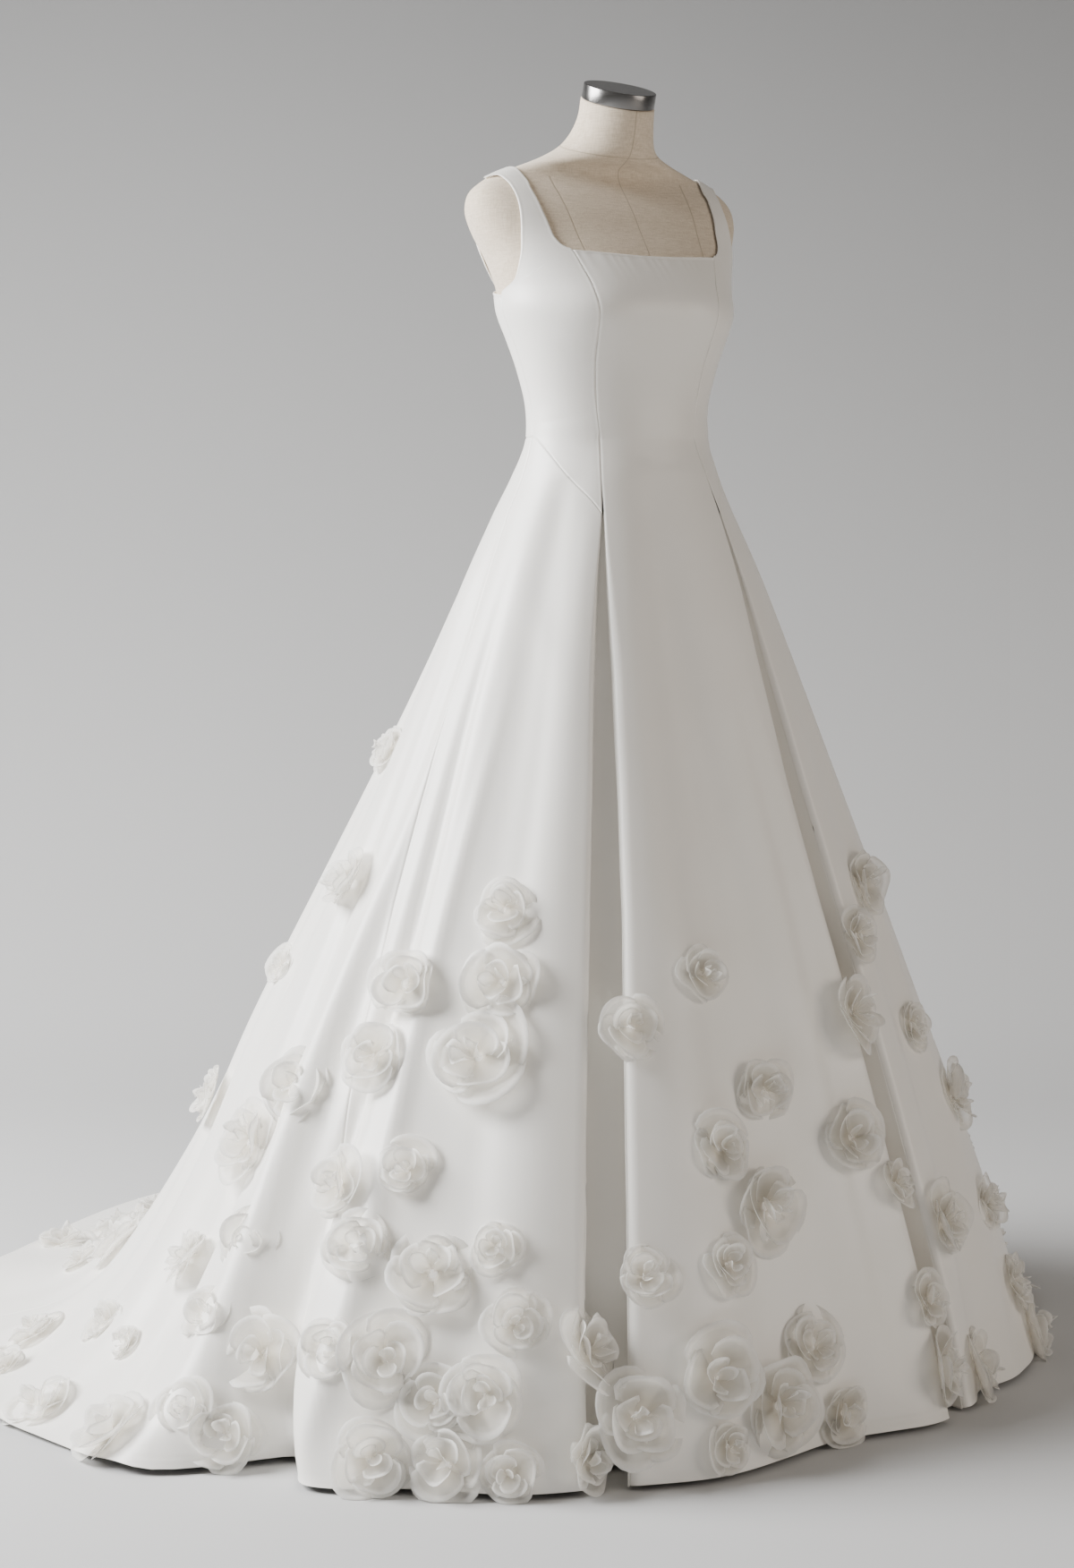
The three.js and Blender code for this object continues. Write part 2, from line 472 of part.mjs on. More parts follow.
function meshOf(name, positions, triangles, look) {
  const geometry = new THREE.BufferGeometry();
  geometry.setAttribute('position', new THREE.Float32BufferAttribute(positions, 3));
  geometry.setIndex(triangles);
  geometry.computeVertexNormals();
  const mesh = new THREE.Mesh(geometry, new THREE.MeshStandardMaterial(COLOURS[look]));
  mesh.name = name;
  return mesh;
}

function solidOf(mesh) {
  return new wasm.Manifold(new wasm.Mesh({
    numProp: 3,
    vertProperties: Float32Array.from(mesh.geometry.attributes.position.array),
    triVerts: Uint32Array.from(mesh.geometry.index.array),
  }));
}

function meshOfSolid(name, solid, look) {
  const { vertProperties, triVerts } = solid.getMesh();
  return meshOf(name, Array.from(vertProperties), Array.from(triVerts), look);
}

// A cloth wall: a grid of points on its outside, each with the way out of it, and the same
// grid moved in by the wall's thickness, closed along the four edges
function wallMesh(name, rows, look, mirrored, thickness = CLOTH) {
  const down = rows.length;
  const across = rows[0].length;
  const positions = [];
  for (const inward of [0, thickness]) {
    for (const row of rows) {
      for (const { at, out } of row) {
        const moved = at.clone().addScaledVector(out, -inward);
        positions.push(moved.x, moved.y, Math.max(moved.z, FLOOR_CLEAR));
      }
    }
  }
  const outer = (i, j) => i * across + j;
  const inner = (i, j) => down * across + outer(i, j);
  const triangles = [];
  const quad = (a, b, c, d) => triangles.push(...(mirrored ? [a, b, d, b, c, d] : [a, b, c, a, c, d]));
  for (let i = 0; i < down - 1; i += 1) {
    for (let j = 0; j < across - 1; j += 1) {
      quad(outer(i, j), outer(i + 1, j), outer(i + 1, j + 1), outer(i, j + 1));
      quad(inner(i, j), inner(i, j + 1), inner(i + 1, j + 1), inner(i + 1, j));
    }
    quad(outer(i + 1, 0), outer(i, 0), inner(i, 0), inner(i + 1, 0));
    quad(outer(i, across - 1), outer(i + 1, across - 1), inner(i + 1, across - 1), inner(i, across - 1));
  }
  for (let j = 0; j < across - 1; j += 1) {
    quad(outer(0, j), outer(0, j + 1), inner(0, j + 1), inner(0, j));
    quad(outer(down - 1, j + 1), outer(down - 1, j), inner(down - 1, j), inner(down - 1, j + 1));
  }
  return meshOf(name, positions, triangles, look);
}

// The way out of a surface given as a function of two numbers
function outwardOf(surface, u, v, step = 0.004) {
  const across = surface(u + step, v).sub(surface(u - step, v));
  const down = surface(u, v + step).sub(surface(u, v - step));
  return down.cross(across).normalize();
}

// The way out of a grid of points, from each point's neighbours
function outwardOfGrid(points) {
  const rows = points.length;
  const columns = points[0].length;
  return points.map((row, i) => row.map((at, j) => {
    const left = points[i][Math.max(j - 1, 0)];
    const right = points[i][Math.min(j + 1, columns - 1)];
    const above = points[Math.max(i - 1, 0)][j];
    const below = points[Math.min(i + 1, rows - 1)][j];
    return { at, out: below.clone().sub(above).cross(right.clone().sub(left)).normalize() };
  }));
}

const panels = {};
function addPanel(name, rows, look = 'satin') {
  const mirrored = name.endsWith('_left');
  const mesh = wallMesh(name, rows, look, mirrored);
  panels[name] = { rows, mirrored, look, solid: solidOf(mesh) };
}

// Even shares from 0 to 1
const shares = (count) => Array.from({ length: count + 1 }, (_, i) => i / count);

// Azimuth of a long skirt edge, moved by half a seam gap towards its own panel
function edgeAzimuth(name, row, inward = 0) {
  const azimuth = straight(EDGES, 'row', name, row);
  const reach = Math.hypot(dressPoint(azimuth, row).x, dressPoint(azimuth, row).y);
  return azimuth + (inward * (SEAM / 2)) / reach / RAD;
}

// Row of the curved yoke seam at a share of the way from the side seam to the pleat
const yokeRow = (across) => 2 * across ** 1.5;

// The front princess seam's azimuth on the bodice, on one side
function princessAzimuth(side, z) {
  return azimuthAtX(side * straight(PRINCESS, 'z', 'x', z), z);
}

// Centre front: neckline to hem in one piece, with a rolled edge at each pleat
function centreFront() {
  const columns = [0, 0.03, 0.12, 0.22, 0.33, 0.44, 0.56, 0.67, 0.78, 0.88, 0.97, 1];
  const half = SEAM / 2;
  const bodice = (u, z) => {
    const sag = z > NECKLINE - 40 ? NECKLINE_DIP * ((z - NECKLINE + 40) / 40) * (1 - (2 * u - 1) ** 2) : 0;
    const height = z - sag;
    const right = princessAzimuth(-1, height);
    const left = princessAzimuth(1, height);
    return formPoint(mix(right, left, u), height, REST + CLOTH);
  };
  const skirt = (u, row) => dressPoint(
    mix(edgeAzimuth('centreR', row, 1), edgeAzimuth('centreL', row, -1), u),
    row,
  );
  const rows = [];
  for (const z of [...PRINCESS_ROWS].reverse()) {
    rows.push(columns.map((u) => {
      const reach = 2 * straight(PRINCESS, 'z', 'x', z);
      const inside = mix(half / reach, 1 - half / reach, u);
      const out = outwardOf((a, b) => bodice(a, b), inside, z, 0.02).negate();
      return { at: bodice(inside, z), out };
    }));
  }
  for (const row of [0, 1, ...FOLD_ROWS]) {
    rows.push(columns.map((u) => ({ at: skirt(u, row), out: outwardOf(skirt, u, Math.min(row, 11.99)) })));
  }
  addPanel('centre_front', rows);
}

// Side front skirt: from the side seam to the pleat's outer fold, below the yoke seam
function sideFrontSkirt(side, letter) {
  const columns = shares(11);
  const surface = (u, v) => {
    const seamRow = straightList(SEAM_ROWS, v);
    const foldRow = straightList(FOLD_ROWS, v);
    const row = mix(seamRow, foldRow, mix(yokeRow(clamp(u)) / FOLD_ROWS[0], clamp(u), clamp(v * YOKE_FADE)));
    const from = edgeAzimuth(`side${letter}`, row, -side);
    const to = edgeAzimuth(`sideFold${letter}`, row, side);
    return dressPoint(mix(from, to, u), Math.min(row, SKIRT_ROWS));
  };
  addPanel(`side_front_skirt_${sideName(side)}`, gridOf(surface, columns, shares(11), side, true));
}

function straightList(list, v) {
  const at = clamp(v) * (list.length - 1);
  const i = Math.min(Math.floor(at), list.length - 2);
  return mix(list[i], list[i + 1], at - i);
}

const sideName = (side) => (side < 0 ? 'right' : 'left');

// A grid of wall points from a surface of two shares, turned over on the left side
function gridOf(surface, us, vs, side, gapAbove) {
  const inside = 0.0025;
  return vs.map((v) => us.map((u) => {
    const inner = clamp(v, inside, 1 - inside);
    const out = outwardOf(surface, clamp(u, inside, 1 - inside), inner, inside);
    if (side > 0) out.negate();
    const at = surface(u, v);
    if (gapAbove && v === 0) at.z -= SEAM / 2;
    return { at, out };
  })).map((row) => (side > 0 ? row.reverse() : row));
}

// Pleat underlay: a channel behind the two folds, open to the outside. Each arm leaves its
// fold square to the cloth, and the bed lies between the arms
function pleatUnderlay(side, letter) {
  const front = panels.centre_front.rows.slice(-FOLD_ROWS.length);
  const beside = panels[`side_front_skirt_${sideName(side)}`].rows;
  const rows = FOLD_ROWS.map((row, i) => {
    const way = i / (FOLD_ROWS.length - 1);
    const centre = side < 0 ? front[i][0] : front[i][front[i].length - 1];
    const fold = side < 0 ? beside[i][beside[i].length - 1] : beside[i][0];
    const depth = mix(PLEAT_TOP_DEPTH, PLEAT_DEPTH, way);
    const middle = centre.at.clone().add(fold.at).multiplyScalar(0.5);
    const inward = new THREE.Vector3(-middle.x, -middle.y, 0).normalize();
    const along = fold.at.clone().sub(centre.at).setZ(0);
    along.addScaledVector(inward, -along.dot(inward)).normalize();
    const reach = (point) => -point.dot(inward);
    const bedReach = Math.min(reach(centre.at), reach(fold.at)) - depth;
    const bed = (at, spread) => {
      const point = at.clone().addScaledVector(along, spread);
      return point.addScaledVector(inward, reach(at) - bedReach);
    };
    const off = (point, distance) => point.at.clone().addScaledVector(point.out, -distance);
    const start = CLOTH + SEAM + 0.2;
    const straightArm = mix(1, 6, way);
    const spread = mix(0.2, 14, way);
    const a = off(centre, start + straightArm);
    const d = off(fold, start + straightArm);
    const b = bed(centre.at, -spread);
    const c = bed(fold.at, spread);
    const points = [
      off(centre, start), a, b.clone().lerp(a, 0.1), b.clone().lerp(c, 0.08), b.clone().lerp(c, 0.5),
      b.clone().lerp(c, 0.92), c.clone().lerp(d, 0.1), d, off(fold, start),
    ];
    return side < 0 ? points.reverse() : points;
  });
  addPanel(`pleat_underlay_${sideName(side)}`, outwardOfGrid(rows), 'shade');
}

// Side back skirt and centre back skirt, with the train
function backSkirt(name, side, fromName, toName, columns) {
  const edge = (label, row, inward) => (label
    ? edgeAzimuth(label, row, inward)
    : side * 180 - (side * (SEAM / 2)) / Math.hypot(dressPoint(180, row).x, dressPoint(180, row).y) / RAD);
  const surface = (u, v) => {
    const row = straightList(SEAM_ROWS, v);
    return dressPoint(mix(edge(fromName, row, side), edge(toName, row, -side), u), row);
  };
  addPanel(`${name}_${sideName(side)}`, gridOf(surface, shares(columns), shares(11), -side, true));
}

// Side front bodice with the front half of the strap
function sideFrontBodice(side, letter) {
  const columns = shares(11);
  const rows = [];
  const outOf = (surface, azimuth, row) => outwardOf((a, b) => surface(a * 60, b), azimuth / 60, row);
  rows.push(columns.map((u) => {
    const row = yokeRow(u);
    const from = edgeAzimuth(`side${letter}`, row, -side);
    const azimuth = mix(from, edgeAzimuth(`sideFold${letter}`, row, side), u);
    const at = dressPoint(azimuth, row);
    at.z += SEAM / 2;
    return { at, out: outOf(dressPoint, azimuth, row) };
  }));
  const princessHeights = [SKIRT[1].z, SKIRT[0].z, WAIST, ...PRINCESS_ROWS];
  for (let i = 1; i < SIDE_ROWS.length; i += 1) {
    rows.push(columns.map((u) => {
      const z = mix(SIDE_ROWS[i], princessHeights[i], u ** SEAM_DIP);
      const above = z > WAIST;
      const row = (WAIST - z) / (above ? BODICE_STEP : WAIST - SKIRT[0].z);
      const surface = above
        ? (azimuth, r) => formPoint(azimuth, WAIST - BODICE_STEP * r, REST + CLOTH)
        : dressPoint;
      const from = side * SIDE_SEAM - turnFor(side * (SEAM / 2), TORSO_REACH.side);
      const seam = above ? princessAzimuth(side, z) : straight(EDGES, 'row', `centre${letter}`, row);
      const azimuth = mix(from, seam + turnFor(side * (SEAM / 2), TORSO_REACH.princess), u);
      return { at: surface(azimuth, row), out: outOf(surface, azimuth, row) };
    }));
  }
  rows.push(...cornerRows(side, columns, FRONT_CORNER, false), ...strapRows(side, columns, false));
  const outwards = rows.map((row) => row.map(({ at, out }) => ({ at, out: awayFromAxis(at, out) })));
  addPanel(
    `side_front_bodice_${sideName(side)}`,
    outwards.reverse().map((row) => (side > 0 ? row.reverse() : row)),
  );
}

function awayFromAxis(at, out) {
  const away = new THREE.Vector3(at.x, at.y - 30, Math.max(at.z - 1560, 0) * 3);
  return out.dot(away) < 0 ? out.negate() : out;
}

// Rows between a table's outer and inner ends, in front or behind
function cornerRows(side, columns, table, behind) {
  const surface = (u, v) => {
    const ends = (name) => straightList(table.map((row) => row[name]), v);
    const x = mix(ends('outerX'), ends('innerX'), u);
    const z = mix(ends('outerZ'), ends('innerZ'), u);
    return formPoint(azimuthAtX(side * x, z, behind), z);
  };
  return shares(table.length - 1).map((v) => columns.map((u) => {
    const at = surface(u, v);
    const out = awayFromAxis(at, outwardOf(surface, clamp(u, 0.03, 0.97), clamp(v, 0.03, 0.97), 0.03));
    return { at: at.addScaledVector(out, REST + CLOTH), out };
  }));
}

// Rows of a strap, from the armhole to the shoulder seam, in front or behind
function strapRows(side, columns, behind) {
  const surface = (u, way) => {
    const x = mix(straight(STRAP, 'way', 'outer', way), straight(STRAP, 'way', 'inner', way), u);
    const rise = Math.sin((clamp(way) * Math.PI) / 2);
    const z = mix(STRAP_FOOT, shoulderHeight(x) - 0.02, rise);
    return formPoint(azimuthAtX(side * x, z, behind), z);
  };
  return STRAP_WAYS.map((way) => columns.map((u) => {
    const inner = clamp(way, 0.01, 0.985);
    const out = outwardOf(surface, u, inner, 0.01);
    const at = surface(u, way);
    const air = mix(REST, SHOULDER_REST, way) + CLOTH;
    const outward = awayFromAxis(at, out);
    if (way === 1) outward.setY(0).normalize();
    const placed = at.clone().addScaledVector(outward, air);
    if (way === 1) placed.y += (behind ? 1 : -1) * (SEAM / 2);
    return { at: placed, out: outward };
  }));
}

// Side back bodice, between the side seam and the back princess seam, up to the armhole
function sideBackBodice(side) {
  const surface = (u, v) => {
    const z = mix(straightList(SIDE_ROWS, v), straightList(BACK_ROWS, v), u);
    const from = side * SIDE_SEAM + turnFor(side * (SEAM / 2), TORSO_REACH.side);
    const seam = azimuthAtX(side * straight(BACK_PRINCESS, 'z', 'x', z), z, true);
    return formPoint(mix(from, seam - turnFor(side * (SEAM / 2), TORSO_REACH.princess), u), z);
  };
  addBodice(`side_back_bodice_${sideName(side)}`, side, surface, shares(7), SIDE_ROWS.length - 1, []);
}

// Centre back bodice with the back half of the strap
function centreBackBodice(side) {
  const columns = shares(8);
  const surface = (u, v) => {
    const z = straightList(BACK_ROWS, v) - BACK_SCOOP * v ** 4 * u;
    const seam = azimuthAtX(side * straight(BACK_PRINCESS, 'z', 'x', z), z, true);
    const to = side * 180 - turnFor(side * (SEAM / 2), TORSO_REACH.back);
    return formPoint(mix(seam + turnFor(side * (SEAM / 2), TORSO_REACH.princess), to, u), z);
  };
  addBodice(
    `centre_back_bodice_${sideName(side)}`,
    side,
    surface,
    columns,
    BACK_ROWS.length - 1,
    [...cornerRows(side, columns, BACK_CORNER, true), ...strapRows(side, columns, true)],
  );
}

// A piece of the back bodice from its surface on the form, off it by the air and the cloth
function addBodice(name, side, surface, columns, steps, strap) {
  const rows = shares(steps).map((v) => columns.map((u) => {
    const at = surface(u, v);
    const out = awayFromAxis(at, outwardOf(surface, u, clamp(v, 0.01, 0.99)));
    at.addScaledVector(out, REST + CLOTH);
    if (v === 0) at.z = WAIST + SEAM / 2;
    return { at, out };
  }));
  rows.push(...strap);
  addPanel(name, rows.reverse().map((row) => (side < 0 ? row.reverse() : row)));
}

centreFront();
for (const [side, letter] of [[-1, 'R'], [1, 'L']]) {
  sideFrontBodice(side, letter);
  sideFrontSkirt(side, letter);
  pleatUnderlay(side, letter);
  sideBackBodice(side);
  centreBackBodice(side);
  backSkirt('side_back_skirt', side, `side${letter}`, `back${letter}`, 11);
  backSkirt('centre_back_skirt', side, `back${letter}`, null, 9);
}

// The form: one closed linen body from the hips to the neck
function formTorso() {
  const heights = TORSO.map((row) => row.z).filter((z) => z < WAIST || z > NECKLINE + 1);
  heights.push(WAIST, ...PRINCESS_ROWS, ...SHOULDER_ROWS);
  heights.sort((a, b) => a - b);
  const positions = [];
  const triangles = [];
  const sides = shares(FORM_SIDES).slice(0, -1).map((share) => share * 360 - 180);
  for (const z of heights) {
    for (const azimuth of sides) positions.push(...formPoint(azimuth, z).toArray());
  }
  const index = (i, j) => i * FORM_SIDES + (j % FORM_SIDES);
  for (let i = 0; i < heights.length - 1; i += 1) {
    for (let j = 0; j < FORM_SIDES; j += 1) {
      triangles.push(index(i, j), index(i, j + 1), index(i + 1, j + 1));
      triangles.push(index(i, j), index(i + 1, j + 1), index(i + 1, j));
    }
  }
  const ends = [[0, TORSO[0], true], [heights.length - 1, TORSO[TORSO.length - 1], false]];
  for (const [row, section, below] of ends) {
    const hub = positions.length / 3;
    positions.push(0, section.y, section.z);
    for (let j = 0; j < FORM_SIDES; j += 1) {
      const pair = below ? [index(row, j + 1), index(row, j)] : [index(row, j), index(row, j + 1)];
      triangles.push(hub, ...pair);
    }
  }
  group.add(meshOf('form_torso', positions, triangles, 'linen'));
}

// The steel neck cap lies on the slanted top of the neck
function neckCap() {
  const top = TORSO[TORSO.length - 1];
  const mesh = new THREE.Mesh(
    new THREE.CylinderGeometry(NECK_CAP.radius, NECK_CAP.radius, NECK_CAP.height, 40),
    new THREE.MeshStandardMaterial(COLOURS.steel),
  );
  mesh.name = 'neck_cap';
  mesh.rotation.x = Math.PI / 2 + NECK_TILT * RAD;
  const rise = new THREE.Vector3(0, -Math.sin(NECK_TILT * RAD), Math.cos(NECK_TILT * RAD));
  mesh.position.set(0, top.y, top.z).addScaledVector(rise, NECK_CAP.lift + NECK_CAP.height / 2);
  group.add(mesh);
}

// The pole and the round base under the form
function stand() {
  const low = BASE.height + SEAM;
  const high = TORSO[0].z - SEAM;
  const pole = new THREE.Mesh(
    new THREE.CylinderGeometry(POLE_RADIUS, POLE_RADIUS, high - low, 24),
    new THREE.MeshStandardMaterial(COLOURS.paint),
  );
  pole.name = 'stand_pole';
  pole.rotation.x = Math.PI / 2;
  pole.position.set(0, 0, (low + high) / 2);
  group.add(pole);
  const profile = [
    [0, 0], [BASE.radius - BASE.chamfer, 0], [BASE.radius, BASE.chamfer],
    [BASE.radius, BASE.height - BASE.chamfer], [BASE.radius - BASE.chamfer, BASE.height], [0, BASE.height],
  ].map(([x, y]) => new THREE.Vector2(x, y));
  const base = new THREE.Mesh(
    new THREE.LatheGeometry(profile, 32),
    new THREE.MeshStandardMaterial(COLOURS.paint),
  );
  base.name = 'stand_base';
  base.rotation.x = Math.PI / 2;
  group.add(base);
}

// A closed solid of a three.js geometry, placed by a matrix
function solidOfGeometry(geometry, matrix = new THREE.Matrix4()) {
  geometry.deleteAttribute('normal');
  geometry.deleteAttribute('uv');
  const merged = mergeVertices(geometry, 1e-4).applyMatrix4(matrix);
  const index = merged.index.array;
  return new wasm.Manifold(new wasm.Mesh({
    numProp: 3,
    vertProperties: Float32Array.from(merged.attributes.position.array),
    triVerts: Uint32Array.from(index),
  }));
}

// A matrix that only moves
const movedBy = (x, y, z) => new THREE.Matrix4().makeTranslation(x, y, z);

// The zip's slider with its bridge, and the pull tab that hangs on it
function zip() {
  const seam = (z) => formPoint(180, z, REST + CLOTH);
  const place = seam(ZIP.height);
  const slope = Math.atan2(seam(ZIP.height + 10).y - seam(ZIP.height - 10).y, 20);
  const frame = new THREE.Matrix4().makeRotationX(-slope).setPosition(place);
  const box = (x, y, z, matrix) => solidOfGeometry(new THREE.BoxGeometry(x, y, z), matrix);
  let slider = box(ZIP.width, ZIP.thickness, ZIP.length, movedBy(0, ZIP.air + ZIP.thickness / 2, 0));
  const postHeight = ZIP.barOut + ZIP.bar - ZIP.air;
  for (const side of [-1, 1]) {
    const x = side * (ZIP.width / 2 - ZIP.post / 2);
    const upright = movedBy(x, ZIP.air + postHeight / 2, ZIP.barUp);
    slider = slider.add(box(ZIP.post, postHeight, ZIP.postDepth, upright));
  }
  const along = new THREE.Matrix4().makeRotationZ(Math.PI / 2);
  const bar = new THREE.CylinderGeometry(ZIP.bar, ZIP.bar, ZIP.width - ZIP.post, 12);
  slider = slider.add(solidOfGeometry(bar, movedBy(0, ZIP.barOut, ZIP.barUp).multiply(along)));
  group.add(meshOfSolid('zip_slider', slider.transform(frame.elements), 'zipMetal'));

  const pivot = new THREE.Vector3(0, ZIP.barOut, ZIP.barUp).applyMatrix4(frame);
  const ring = new THREE.Shape().absarc(0, 0, ZIP.eye, 0, 2 * Math.PI);
  ring.holes.push(new THREE.Path().absarc(0, 0, ZIP.bore, 0, 2 * Math.PI, true));
  const across = new THREE.Matrix4().makeRotationY(Math.PI / 2).setPosition(-ZIP.tabWidth / 2, 0, 0);
  const eye = new THREE.ExtrudeGeometry(ring, { depth: ZIP.tabWidth, bevelEnabled: false, curveSegments: 8 });
  const end = ZIP.drop - ZIP.tabLength;
  const outline = new THREE.Shape()
    .moveTo(-ZIP.tabWidth / 2, -ZIP.eye + 0.4)
    .lineTo(-ZIP.tabWidth / 2, end + ZIP.drop * 2)
    .absarc(0, end, ZIP.drop, 0.85 * Math.PI, 2.15 * Math.PI, false)
    .lineTo(ZIP.tabWidth / 2, end + ZIP.drop * 2)
    .lineTo(ZIP.tabWidth / 2, -ZIP.eye + 0.4);
  const flat = { depth: ZIP.tabThickness, bevelEnabled: false, curveSegments: 8 };
  const plate = new THREE.ExtrudeGeometry(outline, flat);
  const upright = new THREE.Matrix4().makeRotationX(Math.PI / 2).setPosition(0, ZIP.tabThickness / 2, 0);
  const tab = solidOfGeometry(eye, across).add(solidOfGeometry(plate, upright));
  group.add(meshOfSolid('zip_pull_tab', tab.translate(...pivot.toArray()), 'zipMetal'));
}

// A point on a panel's own triangles at shares of the way across and down it
function pointOnPanel(panel, across, down) {
  const { rows, mirrored } = panel;
  const i = Math.min(Math.floor(clamp(down) * (rows.length - 1)), rows.length - 2);
  const j = Math.min(Math.floor(clamp(across) * (rows[0].length - 1)), rows[0].length - 2);
  const v = clamp(down) * (rows.length - 1) - i;
  const u = clamp(across) * (rows[0].length - 1) - j;
  const [a, b, c, d] = [rows[i][j].at, rows[i + 1][j].at, rows[i + 1][j + 1].at, rows[i][j + 1].at];
  const blend = (p, q, m, r, n) => p.clone().addScaledVector(q.clone().sub(p), m)
    .addScaledVector(r.clone().sub(p), n);
  if (mirrored && u + v < 1) return blend(a, b, v, d, u);
  if (mirrored) return blend(c, b, 1 - u, d, 1 - v);
  return v > u ? blend(b, a, 1 - v, c, u) : blend(d, a, 1 - u, c, v);
}

// A repeatable number from 0 to 1
const scattered = (seed) => {
  const value = Math.sin(seed * 127.1 + 11.7) * 43758.5453;
  return value - Math.floor(value);
};

// One rosette: a low dome with a waved rim, a turned inner ring and a hollow heart. Its back
// follows the panel at the given distance
function rosette(place, index, radius, lift) {
  const panel = panels[place.on];
  const step = 0.004;
  const centre = pointOnPanel(panel, place.across, place.down);
  const low = (t) => clamp(t - step, 0, 1 - 2 * step);
  const along = (which) => {
    const before = which ? [low(place.across), place.down] : [place.across, low(place.down)];
    const after = before.map((share, k) => (k === (which ? 0 : 1) ? share + 2 * step : share));
    return pointOnPanel(panel, ...after).sub(pointOnPanel(panel, ...before)).divideScalar(2 * step);
  };
  const across = along(true);
  const down = along(false);
  const out = down.clone().cross(across).normalize();
  if (out.dot(new THREE.Vector3(centre.x, centre.y, 200)) < 0) out.negate();
  out.applyAxisAngle(new THREE.Vector3(0, 0, 1), place.lean * RAD);
  const side = new THREE.Vector3(0, 0, 1).cross(out);
  if (side.length() < 0.05) side.copy(across);
  side.normalize();
  const up = out.clone().cross(side).normalize();
  const height = clamp(radius * ROSETTE.height, ROSETTE.lowest, ROSETTE.highest);
  const seed = index * 7.3;
  const onPanel = (dx, dy) => {
    const shift = side.clone().multiplyScalar(dx).addScaledVector(up, dy);
    if (place.lean) return centre.clone().add(shift);
    const aa = across.dot(across);
    const dd = down.dot(down);
    const ad = across.dot(down);
    const sa = shift.dot(across);
    const sd = shift.dot(down);
    const det = aa * dd - ad * ad;
    const moreAcross = (sa * dd - sd * ad) / det;
    const moreDown = (sd * aa - sa * ad) / det;
    return pointOnPanel(panel, place.across + moreAcross, place.down + moreDown);
  };
  const lay = (point, rise) => {
    const placed = point.clone().addScaledVector(out, rise);
    placed.z = Math.max(placed.z, FLOOR_CLEAR);
    return placed;
  };
  const positions = [];
  const turn = scattered(seed) * 360;
  const rings = [
    { reach: 0.55, rise: lift, wave: 0, on: true },
    { reach: 1, rise: lift + height * 0.42, wave: 0.11, on: false },
    { reach: 0.5, rise: lift + height, wave: 0.14, on: false },
  ];
  rings.forEach((ring, level) => {
    for (let k = 0; k < ROSETTE.sides; k += 1) {
      const angle = (turn + level * 17 + (k * 360) / ROSETTE.sides) * RAD;
      const wave = ring.wave * (2 * scattered(seed + level * 31 + k) - 1);
      const reach = radius * ring.reach * (1 + wave);
      const rise = ring.rise + height * ring.wave * (scattered(seed + k * 3 + level) - 0.5) * 2;
      const dx = reach * Math.cos(angle);
      const dy = reach * Math.sin(angle);
      const flat = centre.clone().addScaledVector(side, dx).addScaledVector(up, dy);
      const point = ring.on ? onPanel(dx, dy) : flat.lerp(onPanel(dx, dy), 0.7);
      positions.push(...lay(point, rise).toArray());
    }
  });
  positions.push(...lay(onPanel(0, 0), lift).toArray());
  positions.push(...lay(centre, lift + height * 0.72).toArray());
  const triangles = [];
  const at = (level, k) => level * ROSETTE.sides + (k % ROSETTE.sides);
  const back = 3 * ROSETTE.sides;
  for (let k = 0; k < ROSETTE.sides; k += 1) {
    triangles.push(back, at(0, k + 1), at(0, k), back + 1, at(2, k), at(2, k + 1));
    for (const level of [0, 1]) {
      triangles.push(at(level, k), at(level, k + 1), at(level + 1, k + 1));
      triangles.push(at(level, k), at(level + 1, k + 1), at(level + 1, k));
    }
  }
  return solidOf(meshOf('rosette', positions, triangles, 'organza'));
}

const meets = (solid, others, limit = 1e-4) => (
  others.some((other) => solid.intersect(other).volume() > limit)
);

// The largest rosette at a place that clears the given solids, at the least of the lifts
function clearRosette(place, index, others, lifts) {
  for (let radius = place.radius; radius > place.radius * ROSETTE.least; radius *= ROSETTE.shrink) {
    for (const lift of lifts) {
      const solid = rosette(place, index, radius, lift);
      if (!meets(solid, others)) return solid;
    }
  }
  return null;
}

// The places of the table and of the scatter, none of the latter too near another
function rosettePlaces() {
  const places = ROSETTES.map((place) => ({ ...place }));
  SCATTER.forEach((field, row) => {
    let placed = 0;
    for (let tries = 0; placed < field.count && tries < ROSETTE.tries; tries += 1) {
      const seed = row * 211 + tries * 3;
      const place = {
        on: field.on,
        across: mix(field.low, field.high, scattered(seed)),
        down: mix(field.from, field.to, scattered(seed + 1) ** ROSETTE.sinking),
        radius: mix(ROSETTE.smallest, ROSETTE.largest, scattered(seed + 2)),
        lean: 0,
      };
      const spot = pointOnPanel(panels[place.on], place.across, place.down);
      const near = places.some((other) => {
        const otherSpot = pointOnPanel(panels[other.on], other.across, other.down);
        return otherSpot.distanceTo(spot) < (other.radius + place.radius) * ROSETTE.apart;
      });
      if (!near) {
        places.push(place);
        placed += 1;
      }
    }
  });
  return places;
}

// A union that stays one body: a pocket or chip that it closes off is dropped
function joined(solid, more) {
  const bodies = solid.add(more).decompose();
  return bodies.reduce((largest, body) => (body.volume() > largest.volume() ? body : largest));
}

